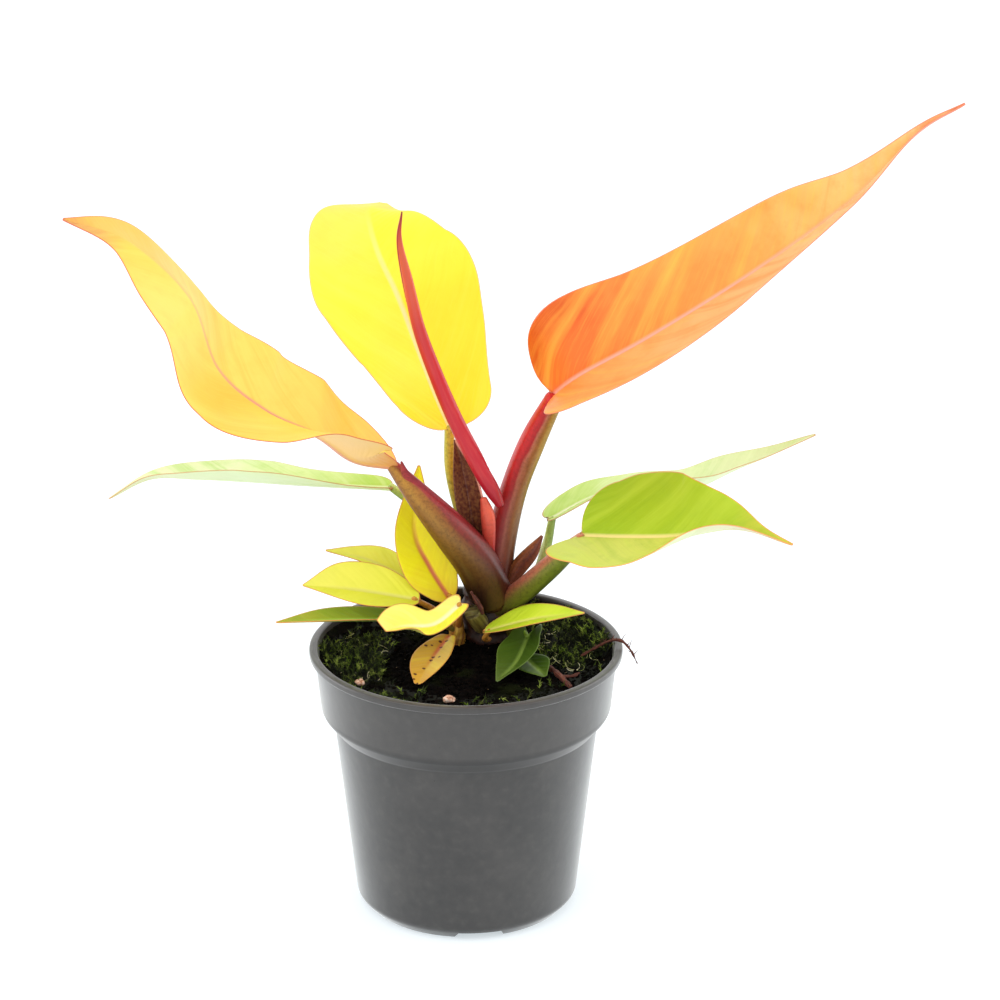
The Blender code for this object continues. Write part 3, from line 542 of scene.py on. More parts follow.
droop = add(moss_tree, "Math", {0: squared, 1: 0.45}, operation="MULTIPLY")
side_step = add(moss_tree, "CombineXYZ", {0: droop})
bent = add(moss_tree, "GeometryNodeSetPosition", {"Geometry": whole, "Offset": side_step})
at = add(moss_tree, "GeometryNodeInputPosition")
patches = add(moss_tree, "TexNoise", {"Vector": at, "Scale": 110.0, "Detail": 2.0})
thick = add(moss_tree, "MapRange", {0: patches, 1: 0.4, 2: 0.56, 3: 0.12, 4: 1.15})
patchy = add(moss_tree, "Math", {0: thick, 1: group_in.outputs["Density"]}, operation="MULTIPLY")
face_up = add(moss_tree, "GeometryNodeInputNormal")
face_parts = add(moss_tree, "SeparateXYZ", {0: face_up})
only_top = add(moss_tree, "Math", {0: face_parts.outputs[2], 1: 0.1}, operation="GREATER_THAN")


def to_length(size):
    """A frond's scale: its chance size times the length asked for."""
    return add(moss_tree, "Math", {0: size, 1: group_in.outputs["Length"]}, operation="MULTIPLY")


scatter(moss_tree, group_in, group_out, bent, (-0.9, 0.9), (0.5, 1.15), to_length, patchy, only_top,
        keep_base=True)


def moss_mat(name, x, y, long_half, wide_half, turn, height):
    """A closed low cushion with a ragged outline, lying on the soil inside the rim."""
    rings, turns = 14, 72
    points = []
    for layer in (1, 0):
        for ring in range(1, rings + 1):
            for step in range(turns):
                angle = 2 * math.pi * step / turns
                share = ring / rings
                ragged = 1 + 0.16 * math.sin(3 * angle + x) + 0.09 * math.sin(7 * angle + y)
                across = long_half * share * ragged * math.cos(angle)
                beside = wide_half * share * ragged * math.sin(angle)
                px = x + across * math.cos(turn) - beside * math.sin(turn)
                py = y + across * math.sin(turn) + beside * math.cos(turn)
                away = math.hypot(px, py)
                if away > 55.0:
                    px, py = px * 55.0 / away, py * 55.0 / away
                swell = 0.75 + 0.5 * noise.noise(Vector((px / 4, py / 4, 2.0)))
                up = height * (1 - share**3) * swell if layer else -0.9
                points.append((px, py, soil_height(px, py) + 0.5 + up))
    points += [(x, y, soil_height(x, y) + 0.5 + height), (x, y, soil_height(x, y) - 0.4)]
    faces = []
    half = rings * turns
    for step in range(turns):
        after = (step + 1) % turns
        faces.append((2 * half, step, after))
        faces.append((2 * half + 1, half + after, half + step))
        for ring in range(rings - 1):
            low = ring * turns
            faces.append((low + step, low + turns + step, low + turns + after, low + after))
            low += half
            faces.append((low + after, low + turns + after, low + turns + step, low + step))
        rim = (rings - 1) * turns
        faces.append((rim + step, half + rim + step, half + rim + after, rim + after))
    return mesh_piece(name, points, faces, moss_leaf)


for name, x, y, long_half, wide_half, turn, seed, density in (
    ("moss_left", -41.0, 3.0, 26.0, 12.0, 80, 11, 1500000.0),
    ("moss_right", 39.0, 20.0, 26.0, 13.0, 113, 12, 1500000.0),
    ("moss_front", -28.0, -40.0, 10.0, 5.5, 150, 13, 2000000.0),
):
    mat = moss_mat(name + "_mat", x, y, long_half, wide_half, math.radians(turn), 1.3)
    cushion = grown(name + "_fronds", mat, moss_tree, Density=density, Length=0.0024, Seed=seed,
                    Finish=moss_leaf)
    belong(cushion, "moss", name)

# Pale threads curl over the cushions: dead stems of the moss and fine grass roots, bleached straw
# and green.
strand_skin, tree, shader = new_finish("bleached_moss_thread", 0.6, 1.4, 0.4)
shade = add(tree, "Attribute", attribute_name="shade")
tone = add(tree, "ValToRGB", {0: shade.outputs["Fac"]},
           stops=[(0.0, "#3A4A14"), (0.5, "#8C9A44"), (0.85, "#C8C488"), (1.0, "#E4DCB8")])
fill(tree, shader, {"Base Color": tone})

strand_tree, group_in, group_out = new_tree("curled_threads", "Density", "Smallest", "Largest")
arc = add(strand_tree, "GeometryNodeCurveArc", {"Resolution": 9, "Radius": 1.0, "Sweep Angle": 3.4},
          mode="RADIUS")
ring = add(strand_tree, "GeometryNodeCurvePrimitiveCircle", {"Resolution": 3, "Radius": 0.05},
           mode="RADIUS")
thread = add(strand_tree, "GeometryNodeCurveToMesh",
             {"Curve": arc, "Profile Curve": ring, "Fill Caps": True})
scatter(strand_tree, group_in, group_out, thread, (-0.6, 0.6),
        (group_in.outputs["Smallest"], group_in.outputs["Largest"]), lambda size: size)


def over_cushions(x, y):
    """Two ellipses over the left and the right cushion, inside the rim."""
    left = (x + 41) ** 2 / 130 + (y - 3) ** 2 / 620 < 1
    right = (x - 40) ** 2 / 180 + (y - 16) ** 2 / 600 < 1
    return (x**2 + y**2 < 52**2) & (left | right)


thread_bed = soil_cover("thread_bed", over_cushions, 1.4)
moss_threads = grown("moss_threads", thread_bed, strand_tree, Density=110000.0, Smallest=0.0006,
                     Largest=0.0026,
                     Seed=21, Finish=strand_skin)
belong(moss_threads, "moss")

thin_bed = soil_cover("thin_moss_bed", lambda x, y: (x**2 + y**2 < 54**2) & (x**2 + y**2 > 33**2), 0.1)
thin_moss = grown("moss_scattered", thin_bed, moss_tree, Density=90000.0, Length=0.0028, Seed=14,
                  Finish=moss_leaf)
belong(thin_moss, "moss")

# ---------------------------------------------------------------------------------------------
# Litter: three pale pumice stones, a forked dry twig, and a wiry air root that has grown out over
# the rim and is feathered with short side roots.


def unit(vectors):
    return vectors / np.linalg.norm(vectors, axis=-1, keepdims=True)


def along(values, where):
    """Values given at even steps, read smoothly at shares of the way from 0 to 1."""
    values = np.array(values, float)
    values = values.reshape(len(values), -1)
    if len(values) == 1:
        return np.repeat(values, len(where), axis=0)
    slopes = np.gradient(values, axis=0)
    place = np.clip(where, 0, 1) * (len(values) - 1)
    left = np.minimum(place.astype(int), len(values) - 2)
    t = (place - left)[:, None]
    rise = 3 * t**2 - 2 * t**3
    return (
        (1 - rise) * values[left] + rise * values[left + 1]
        + (t - 2 * t**2 + t**3) * slopes[left] + (t**3 - t**2) * slopes[left + 1]
    )


def smooth(points, count):
    """Evenly spaced points on a smooth curve through the given ones."""
    fine = along(points, np.linspace(0, 1, 40 * len(points)))
    steps = np.linalg.norm(np.diff(fine[:, :3], axis=0), axis=1)
    length = np.concatenate([[0], np.cumsum(steps)])
    where = np.linspace(0, length[-1], count)
    return np.stack([np.interp(where, length, column) for column in fine.T], axis=1)


def from_crown(points):
    """Points measured from where the crown leaves the soil, in the pot's frame."""
    return np.array(points, float) + CROWN_FOOT


def mark(piece, name, values):
    """Store a vector for each vertex, for the finish to read."""
    layer = piece.data.attributes.new(name, "FLOAT_VECTOR", "POINT")
    layer.data.foreach_set("vector", np.asarray(values, np.float32).ravel())


def round_section(angle, share):
    return np.cos(angle), np.sin(angle)


def swept(name, line, radii, finish, rings=60, sides=36, facing=(0, 0, 1), section=round_section,
          knots=0.0, blunt=0.6):
    """A closed stalk through the points: angle 0 of its section looks along facing."""
    path = smooth(np.array([(*p, r) for p, r in zip(line, radii)], float), rings + 1)
    centre, radius = path[:, :3], path[:, 3]
    ahead = unit(np.gradient(centre, axis=0))
    share = np.linspace(0, 1, rings + 1)
    length = np.linalg.norm(np.diff(centre, axis=0), axis=1).sum()
    bends = np.radians((78, 55, 28))
    start = [(centre[0] - ahead[0] * radius[0] * blunt * math.sin(b), radius[0] * math.cos(b)) for b in bends]
    end = [(centre[-1] + ahead[-1] * radius[-1] * blunt * math.sin(b),
            radius[-1] * math.cos(b)) for b in bends[::-1]]
    centre = np.concatenate([[c for c, _ in start], centre, [c for c, _ in end]])
    radius = np.concatenate([[r for _, r in start], radius, [r for _, r in end]])
    ahead = np.concatenate([[ahead[0]] * 3, ahead, [ahead[-1]] * 3])
    share = np.concatenate([[0] * 3, share, [1] * 3])
    facing = np.array(facing, float)
    front = unit(facing - (ahead @ facing)[:, None] * ahead)
    side = np.cross(ahead, front)
    angle = np.linspace(0, 2 * math.pi, sides, endpoint=False)
    across, beside = section(angle[None, :], share[:, None])
    across = across * np.ones((len(share), 1))
    beside = beside * np.ones((len(share), 1))
    grid = centre[:, None] + radius[:, None, None] * (
        across[..., None] * front[:, None] + beside[..., None] * side[:, None])
    if knots:
        flat = grid.reshape(-1, 3)
        bumps = np.array([noise.noise(Vector(p * 0.45)) for p in flat]).reshape(grid.shape[:2])
        grid += unit(grid - centre[:, None]) * (bumps * knots)[..., None]
    layers = len(share)
    poles = [centre[0] - ahead[0] * radius[1] * blunt * 0.05,
             centre[-1] + ahead[-1] * radius[-2] * blunt * 0.05]
    points = np.concatenate([grid.reshape(-1, 3), poles])
    faces = []
    for layer in range(layers - 1):
        for step in range(sides):
            after = (step + 1) % sides
            low = layer * sides
            faces.append((low + step, low + after, low + sides + after, low + sides + step))
    last = (layers - 1) * sides
    for step in range(sides):
        after = (step + 1) % sides
        faces.append((after, step, layers * sides))
        faces.append((last + step, last + after, layers * sides + 1))
    made = mesh_piece(name, points, faces, finish)
    turned = bmesh.new()
    turned.from_mesh(made.data)
    bmesh.ops.recalc_face_normals(turned, faces=turned.faces)
    turned.to_mesh(made.data)
    turned.free()
    spread = np.stack([np.repeat(share, sides), np.tile(np.cos(angle), layers),
                       np.tile(np.sin(angle), layers)], 1)
    spread = np.concatenate([spread, [(0, 0, 0), (1, 0, 0)]])
    mark(made, "stalk_place", spread)
    mark(made, "stalk_size", spread * (length * 0.05, 1.6, 1.6))
    return made


def merged(name, *pieces):
    """One object from several of the same finish."""
    for other in bpy.context.scene.objects:
        other.select_set(False)
    for piece in pieces:
        piece.select_set(True)
    bpy.context.view_layer.objects.active = pieces[0]
    bpy.ops.object.join()
    pieces[0].name = name
    pieces[0].data.name = name
    pieces[0].select_set(False)
    return pieces[0]


# Pumice: pinkish white, dull, pitted.
pumice = grained_finish("pinkish_pumice", 0.85, "Object", 900.0, 4.0,
                        [(0.3, "#8E5A40"), (0.5, "#D8A88C"), (0.7, "#F1DCCB")], (0.6, 0.0004), ior=1.5,
                        specular=0.3)

MOUTH_RADIUS = 56.6
for name, share_x, share_y, size in (
    ("grit_left", -0.707, -0.362, 1.7), ("grit_front", -0.106, -0.68, 2.1), ("grit_right", 0.654, 0.654, 1.6),
):
    stone = bmesh.new()
    bmesh.ops.create_icosphere(stone, subdivisions=4, radius=size * MM)
    x, y = share_x * MOUTH_RADIUS, share_y * MOUTH_RADIUS
    middle = Vector((x, y, soil_height(x, y) + size * 0.75 + 0.5)) * MM
    for vert in stone.verts:
        push = 1 + 0.32 * noise.fractal(vert.co * 300 + Vector((x, y, 0)), 1.1, 2.0, 4)
        vert.co = Vector((vert.co.x * push * 1.1, vert.co.y * push, vert.co.z * push * 0.78)) + middle
    mesh = bpy.data.meshes.new(name)
    stone.to_mesh(mesh)
    stone.free()
    mesh.materials.append(pumice)
    mesh.shade_smooth()
    belong(in_scene(name + "_stone", mesh), "grit", name)

# Dry reddish bark: matt, wrinkled along its length, lighter where it is rubbed.
dry_bark = grained_finish("dry_reddish_bark", 0.7, "stalk_size", 2.2, 6.0,
                          [(0.3, "#2A120C"), (0.5, "#552419"), (0.7, "#8E5442")], (0.6, 0.0003))


def on_soil(x, y, up):
    return (x, y, float(soil_height(x, y)) + up)


twig_line = [on_soil(32.0, -8.0, 2.0), on_soil(36.0, -19.0, 2.4), on_soil(39.5, -29.0, 2.0)]
twig = swept("twig", twig_line, [0.9, 1.1, 0.8], dry_bark, rings=40, sides=14, knots=0.5)
fork = swept("twig_fork", [on_soil(36.0, -19.0, 2.4), on_soil(40.5, -21.0, 3.6), on_soil(43.0, -20.0, 4.6)],
             [0.7, 0.6, 0.4], dry_bark, rings=20, sides=12, knots=0.4)
twig = merged("twig", twig, fork)
belong(twig, "dry_stem", "twig_front")

SIDE_ROOTS = 16
rim_line = [(44.1, 1.0, soil_height(44.1, 1.0) + 3.2), (52.6, 0.0, 105.6), (58.5, -1.0, 107.4),
            (62.5, -2.5, 104.5), (65.5, -4.0, 99.0)]
air_root = [swept("air_root", rim_line, [0.45, 0.5, 0.5, 0.4, 0.15], dry_bark, rings=50, sides=12, knots=0.3)]
root_path = smooth(rim_line, 40)
for index in range(SIDE_ROOTS):
    start = root_path[8 + 2 * index]
    turn = 2.4 * index
    out = np.array((math.cos(turn) * 0.8, math.sin(turn) * 0.8, 0.5 + 0.5 * math.sin(turn * 1.7)))
    size = 1.4 + 1.4 * (noise.noise(Vector((index * 1.3, 4.0, 0.0))) + 0.5)
    hair = [start, start + out * size * 0.5 + (0, 0, 0.3), start + out * size + (0.4, 0, 0.9)]
    air_root.append(swept(f"air_root_hair_{index}", hair, [0.2, 0.15, 0.06], dry_bark, rings=6, sides=5))
belong(merged("air_root", *air_root), "dry_stem", "root_over_rim")

# ---------------------------------------------------------------------------------------------
# Stem: one short dark crown ringed with leaf scars, and a yellowish side shoot beside it that
# carries most of the basal leaves.

# Old stem skin: dark purple-brown, corky at the scars, a dull gloss between them.
crown_skin = grained_finish("corky_crown_skin", 0.55, "Object", 300.0, 6.0,
                            [(0.3, "#160A06"), (0.55, "#33170F"), (0.75, "#5C3020")], (0.7, 0.0005))

CROWN_RADIUS = 10.5


def ringed_section(angle, share):
    """Leaf scars: shallow sloping steps round the stem."""
    swell = 1 + 0.05 * np.sin(26 * share + 1.2 * np.sin(angle)) + 0.03 * np.sin(5 * angle + 9 * share)
    return np.cos(angle) * swell, np.sin(angle) * swell


crown_line = from_crown([(0, 0, z) for z in (-7.5, 0, 10.5, 22.5, 30)])
crown_radii = [CROWN_RADIUS * share for share in (0.6, 0.92, 1.0, 0.85, 0.55)]
crown = swept("crown", crown_line, crown_radii, crown_skin, rings=70, sides=64, facing=(0, -1, 0),
              section=ringed_section, knots=0.5)
belong(crown, "crown", "main_stem")

# Young side shoot: yellow-brown, streaked with red, fleshy.
shoot_skin = grained_finish("young_shoot_skin", 0.45, "stalk_size", 1.6, 5.0,
                            [(0.3, "#6B3A1A"), (0.5, "#A8762C"), (0.7, "#D9B24A")])
shoot_line = from_crown([(-11.0, -6, -4), (-11.5, -7, 6), (-11.5, -8, 13)])
shoot = swept("side_shoot", shoot_line, [3.2, 3.2, 2.2], shoot_skin, rings=40, sides=32,
              section=ringed_section)
belong(shoot, "dry_stem", "offshoot_stem")

# ---------------------------------------------------------------------------------------------
# Leaf stalks: fleshy, each wrapping the younger ones at its foot with a sheath. The side that looks
# up is red or pink, the back olive brown, and all of them darken towards the crown.


def stored(tree, name):
    """The three parts of a vector that the mesh stores at each point."""
    vector = add(tree, "Attribute", attribute_name=name).outputs["Vector"]
    return list(add(tree, "SeparateXYZ", {0: vector}).outputs)


def stalk_finish(name, foot, top, dark="#2A140C", stipple=0.3, turn_at=(0.15, 0.75), roughness=0.38):
    """Stalk skin. Foot and top are the colours from the upper side (0) round to the back (1)."""
    made, tree, shader = new_finish(name, roughness, 1.42, 0.45)
    along_stalk, upward, _ = stored(tree, "stalk_place")
    size = add(tree, "Attribute", attribute_name="stalk_size")
    ragged = add(tree, "TexNoise", {"Vector": size.outputs["Vector"], "Scale": 1.1, "Detail": 5.0})
    shift = add(tree, "MapRange", {0: ragged, 1: 0.3, 2: 0.7, 3: -0.07, 4: 0.07})
    around = add(tree, "MapRange", {0: upward, 1: 1.0, 2: -1.0})
    read = add(tree, "Math", {0: around, 1: shift}, operation="ADD")
    foot_tone = add(tree, "ValToRGB", {0: read}, stops=foot)
    top_tone = add(tree, "ValToRGB", {0: read}, stops=top)
    rise = add(tree, "MapRange", {0: along_stalk, 1: turn_at[0], 2: turn_at[1]})
    tone = add(tree, "Mix", {0: rise, 6: foot_tone, 7: top_tone}, data_type="RGBA")
    spot = add(tree, "TexCoord").outputs["Object"]
    dots = add(tree, "TexNoise", {"Vector": spot, "Scale": 750.0, "Detail": 6.0, "Roughness": 0.7})
    dot_amount = add(tree, "MapRange", {0: dots, 1: 0.45, 2: 0.75, 3: 0.0, 4: stipple * 2})
    dotted = add(tree, "Mix", {0: dot_amount, 6: tone, 7: dark}, data_type="RGBA")
    skin = add(tree, "Bump", {"Strength": 0.25, "Distance": 0.0003, "Height": ragged})
    fill(tree, shader, {"Base Color": dotted, "Normal": skin})
    return made


def channelled_section(depth):
    """A stalk with a shallow channel on its upper side between two soft ridges."""
    def section(angle, share):
        upper = np.clip(np.cos(angle), 0, 1)
        groove = 1 - depth * upper**4 + depth * 0.5 * np.exp(-((np.abs(angle - math.pi) - 2.2) / 0.3) ** 2)
        return np.cos(angle) * groove, np.sin(angle) * groove
    return section


# The orange leaf's stalk: clear red above, where it is channelled, with an olive back.
orange_stalk_skin = stalk_finish(
    "red_channelled_stalk",
    foot=[(0.0, "#8E2A2C"), (0.35, "#742826"), (0.55, "#8A4A3C"), (0.75, "#683426"), (1.0, "#54281C")],
    top=[(0.0, "#CC2A26"), (0.3, "#C21E20"), (0.46, "#A8181C"), (0.56, "#B86A50"), (0.68, "#9C5C34"),
         (0.85, "#B08238"), (1.0, "#9A7430")], stipple=0.2,
)
orange_stalk = swept(
    "stalk_orange_skin", from_crown([(2.0, 1.05, 20), (5, 1, 42), (10, 0, 64), (17, -5, 85), (25, -11, 104)]),
    [7.0, 6.2, 5.5, 5.3, 3.9], orange_stalk_skin, rings=110, sides=56, facing=(-1.0, 0.05, 0.35),
    section=channelled_section(0.12),
)
belong(orange_stalk, "stalk_red", "stalk_orange")

# The amber leaf's stalk is the widest: a keeled sheath with a thin red wing along its upper edge,
# whose tip stands free.
amber_stalk_skin = stalk_finish(
    "brown_sheathing_stalk",
    foot=[(0.0, "#54201C"), (0.25, "#45200F"), (0.45, "#4E2E18"), (0.75, "#2E190E"), (1.0, "#1E0F08")],
    top=[(0.0, "#A82430"), (0.2, "#A0302C"), (0.34, "#A46428"), (0.55, "#B88430"), (0.78, "#A06C24"),
         (1.0, "#8E561E")],
    turn_at=(0.15, 0.9),
)
amber_line = from_crown([(2.0, -5.5, 22), (-4, -11, 38), (-12, -14, 50), (-20, -15, 60), (-28, -15, 69.5),
                         (-35.5, -14, 78.5)])
amber_stalk = swept("amber_sheath", amber_line, [8.4, 8.4, 7.6, 6.2, 4.5, 2.5], amber_stalk_skin,
                    rings=110, sides=56, facing=(0.77, 0.1, 0.64), section=channelled_section(0.03))
wing_line = from_crown([(-6, -14, 51.5), (-12.5, -15.5, 59), (-19.5, -17, 65), (-26, -17.5, 71),
                        (-30.5, -17.5, 76.5), (-32.2, -17.5, 81.5)])


def wing_section(angle, share):
    """A thin blade that stands on the stalk."""
    return np.cos(angle), np.sin(angle) * 0.32


amber_wing_skin = stalk_finish(
    "red_sheath_wing",
    foot=[(0.0, "#9C3030"), (0.5, "#963230"), (1.0, "#8A3A2A")],
    top=[(0.0, "#84202C"), (0.5, "#A02C2E"), (1.0, "#A0402E")], turn_at=(0.1, 0.6),
)
amber_wing = swept("amber_wing", wing_line, [0.8, 1.8, 2.4, 2.4, 1.6, 0.4], amber_wing_skin,
                   rings=70, sides=28, facing=(0.6, 0.1, 0.8), section=wing_section)
belong(amber_stalk, "stalk_brown", "stalk_amber")
belong(amber_wing, "stalk_brown")

# The yellow leaf's stalk is thin, and its old sheath stands open beside it, brown inside and edged
# with a pale margin.
yellow_stalk_skin = stalk_finish(
    "green_yellow_stalk",
    foot=[(0.0, "#6B3B22"), (0.5, "#7A6A2C"), (1.0, "#4E4A1C")],
    top=[(0.0, "#E0B23A"), (0.5, "#C8B840"), (1.0, "#9AA03A")],
    stipple=0.3,
)
yellow_line = from_crown([(-1.05, 0, 22), (-6, 2, 43), (-11, 3, 57), (-14, 2.5, 72), (-14.3, 1, 88)])
yellow_petiole = swept("yellow_petiole", yellow_line, [3.6, 3.0, 2.4, 2.2, 1.9], yellow_stalk_skin, rings=80,
                       sides=32, facing=(0.6, -0.6, 0.3))
belong(yellow_petiole, "stalk_brown", "stalk_yellow")

open_sheath_skin, tree, shader = new_finish("open_sheath_inside", 0.45)
to_margin = stored(tree, "leaf_size")[0]
across_leaf = stored(tree, "leaf_place")[1]
spot = add(tree, "TexCoord").outputs["Object"]
stippled = add(tree, "TexNoise", {"Vector": spot, "Scale": 900.0, "Detail": 4.0})
tone = add(tree, "ValToRGB", {0: stippled}, stops=[(0.35, "#4E2016"), (0.5, "#6A3822"), (0.66, "#7E522E")])
pale = add(tree, "MapRange", {0: to_margin, 1: 0.5, 2: 1.1, 3: 1.0, 4: 0.0})
right_half = add(tree, "Math", {0: across_leaf, 1: 0.0}, operation="GREATER_THAN")
pale_right_edge = add(tree, "Math", {0: pale, 1: right_half}, operation="MULTIPLY")
edged = add(tree, "Mix", {0: pale_right_edge, 6: tone, 7: "#E8A088"}, data_type="RGBA")
fill(tree, shader, {"Base Color": edged})

OPEN_SHEATH = dict(
    midrib=((-3.0, -5, 38), (-5.5, -5.5, 53), (-8.3, -4.2, 69), (-12.2, -1.5, 84.5)),
    face=((0.1, -1.0, 0.1),), widths=(7.5, 7, 6, 0.4), left=(28,), right=(28,), curl=20,
)

# The lime leaf's stalk: green, with a pink upper edge.
lime_stalk_skin = stalk_finish(
    "green_stalk_with_pink_edge",
    foot=[(0.0, "#8A3E34"), (0.25, "#6A3A24"), (0.45, "#5A501E"), (1.0, "#2E2A10")],
    top=[(0.0, "#D89878"), (0.14, "#D07A5E"), (0.26, "#B87A44"), (0.38, "#8A8A2C"), (0.7, "#7A8A26"),
         (1.0, "#5A661C")],
    turn_at=(0.1, 0.9), dark="#2A2A12",
)
lime_line = from_crown([(4.0, -4.0, 16), (13, -11, 26), (20, -15, 34), (28, -18, 43), (36, -21, 52)])
lime_stalk = swept("stalk_lime_skin", lime_line, [5.2, 4.9, 4.7, 4.2, 2.6], lime_stalk_skin, rings=90,
                   sides=48, facing=(-0.55, 0.15, 0.85), section=channelled_section(0.1))
belong(lime_stalk, "stalk_green", "stalk_lime")

# The pale leaves' stalks: thin and pale green, brown at the foot.
pale_stalk_skin = stalk_finish(
    "pale_green_stalk",
    foot=[(0.0, "#6E3A2A"), (0.5, "#5E4A24"), (1.0, "#3A2A16")],
    top=[(0.0, "#C8D47A"), (0.5, "#9AB050"), (1.0, "#7A8A3A")],
    stipple=0.25,
)
for name, line, radii in (
    ("pale_left", [(-3.05, 1.05, 17), (-9, 5, 29), (-18, 7, 42), (-28, 9, 54), (-37, 10, 61)],
     [3.4, 2.9, 2.5, 2.1, 1.6]),
    ("pale_right", [(5.04, 1.05, 13), (13, 4, 18), (20, 7, 27), (23, 9, 37), (25, 9, 48)],
     [3.0, 2.6, 2.3, 2.0, 1.6]),
):
    pale_stalk = swept(f"stalk_{name}_skin", from_crown(line), radii, pale_stalk_skin, rings=70, sides=32,
                       section=channelled_section(0.15))
    belong(pale_stalk, "stalk_green", f"stalk_{name}")

# The rolled leaf's stalk barely shows: an orange-red bud scale in front of the orange leaf's stalk.
spear_stalk_skin = stalk_finish(
    "orange_red_bud_scale",
    foot=[(0.0, "#A82A28"), (1.0, "#8E2420")], top=[(0.0, "#D85A42"), (0.6, "#CC4A3A"), (1.0, "#B83430")],
    stipple=0.15,
)
spear_stalk = swept("stalk_rolled_red_skin",
                    from_crown([(1.0, -7.5, 40), (0.8, -9.8, 48.6), (0.3, -10.4, 57), (-1.2, -10, 63.5)]),
                    [2.0, 2.5, 2.7, 1.4], spear_stalk_skin, rings=50, sides=36, facing=(0.5, -0.8, 0.2))
belong(spear_stalk, "stalk_red", "stalk_rolled_red")

# ---------------------------------------------------------------------------------------------
# Blades: each leaf is one sheet of living tissue about half a millimetre thick, grooved over the
# midrib, ribbed under it, with fine side veins that sweep out to a thin reddish margin.


def leaf_sheet(leaf, rows, columns):
    """The middle surface, with each point's share along, share across and width there."""
    midrib = smooth(from_crown(leaf["midrib"]), rows + 1)
    share = np.linspace(0, 1, rows + 1)
    ahead = unit(np.gradient(midrib, axis=0))
    face = along(leaf["face"], share)
    face = unit(face - (face * ahead).sum(axis=1, keepdims=True) * ahead)
    side = np.cross(ahead, face)
    opening = np.clip(share / leaf.get("base", 0.1), 0, 1)
    rounding = 0.04 + 0.96 * np.sin(math.pi / 2 * opening**0.75)
    out = np.linspace(-1, 1, 2 * columns + 1)
    grid = np.zeros((rows + 1, len(out), 3))
    across = np.zeros(grid.shape[:2])
    for column, place in enumerate(out):
        half = "left" if place < 0 else "right"
        width = along(leaf.get(half + "_widths", leaf.get("widths")), share)[:, 0] * rounding
        fold = np.radians(along(leaf[half], share)[:, 0])
        reach, rise = np.zeros(rows + 1), np.zeros(rows + 1)
        for piece in range(6):
            angle = fold + math.radians(leaf.get("curl", 9.0)) * abs(place) * (piece + 0.5) / 6
            reach += np.cos(angle) * width * abs(place) / 6
            rise += np.sin(angle) * width * abs(place) / 6
        lobe = leaf.get(half + "_lobe", leaf.get("lobe", 1.0))
        lobe = lobe * np.sin(math.pi * opening**0.7) * abs(place) ** 1.5
        grid[:, column] = (midrib + side * (reach * np.sign(place))[:, None] + face * rise[:, None]
                           - ahead * lobe[:, None])
        across[:, column] = width * place
    length = np.linalg.norm(np.diff(midrib, axis=0), axis=1).sum()
    return grid, share, out, across, length


def leaf_piece(name, leaf, finish, rows=110, columns=26, thick=0.55, rib=1.0):
    """A closed blade: the sheet's two faces with a rib below, a groove above and a thin margin."""
    grid, share, out, across, length = leaf_sheet(leaf, rows, columns)
    normal = unit(np.cross(np.gradient(grid, axis=1), np.gradient(grid, axis=0)))
    distance = np.abs(across)
    beyond = np.abs(across[:, :1]) * (across < 0) + np.abs(across[:, -1:]) * (across >= 0)
    edge = np.minimum(beyond - distance, ((1 - share) * length)[:, None])
    vein = (share * length)[:, None] - 0.95 * distance - 0.01 * distance**2
    taper = (1 - 0.85 * share)[:, None]
    groove = 0.5 * rib * np.exp(-((distance / 1.3) ** 2)) * taper
    ridge = 1.1 * rib * np.exp(-((distance / 1.2) ** 2)) * taper
    away_from_lines = np.clip(edge / 4, 0, 1) * np.clip(distance / 2, 0, 1)
    quilt = 0.06 * np.sin(vein * 1.9 + 0.8 * np.sin(vein * 0.37)) * away_from_lines
    half = thick / 2 * (0.35 + 0.65 * np.clip(edge / 1.2, 0, 1) ** 0.5)
    upper = grid + normal * (half - groove + quilt)[..., None]
    lower = grid - normal * (half + ridge - quilt)[..., None]
    count = grid.shape[1]
    total = (rows + 1) * count
    points = np.concatenate([upper.reshape(-1, 3), lower.reshape(-1, 3)])
    faces = []
    for row in range(rows):
        for column in range(count - 1):
            corner = row * count + column
            ring = (corner, corner + 1, corner + count + 1, corner + count)
            faces.append(ring)
            faces.append(tuple(total + c for c in ring[::-1]))
    border = list(range(count)) + [row * count + count - 1 for row in range(1, rows + 1)]
    border += [rows * count + column for column in range(count - 2, -1, -1)]
    border += [row * count for row in range(rows - 1, 0, -1)]
    for here, after in zip(border, border[1:] + border[:1]):
        faces.append((after, here, total + here, total + after))
    made = mesh_piece(name, points, faces, finish)
    flat = np.ones(grid.shape[:2])
    for attribute, values in (
        ("leaf_place", (share[:, None] * flat, out[None, :] * flat, 0 * flat)),
        ("leaf_size", (edge, distance, share[:, None] * length * flat)),
        ("leaf_vein", (vein * 0.14, distance * 0.018, np.sign(across) * 5 + 3)),
    ):
        block = np.stack(values, axis=-1).reshape(-1, 3)
        below = block.copy()
        if attribute == "leaf_place":
            below[:, 2] = 1.0
        mark(made, attribute, np.concatenate([block, below]))
    return made


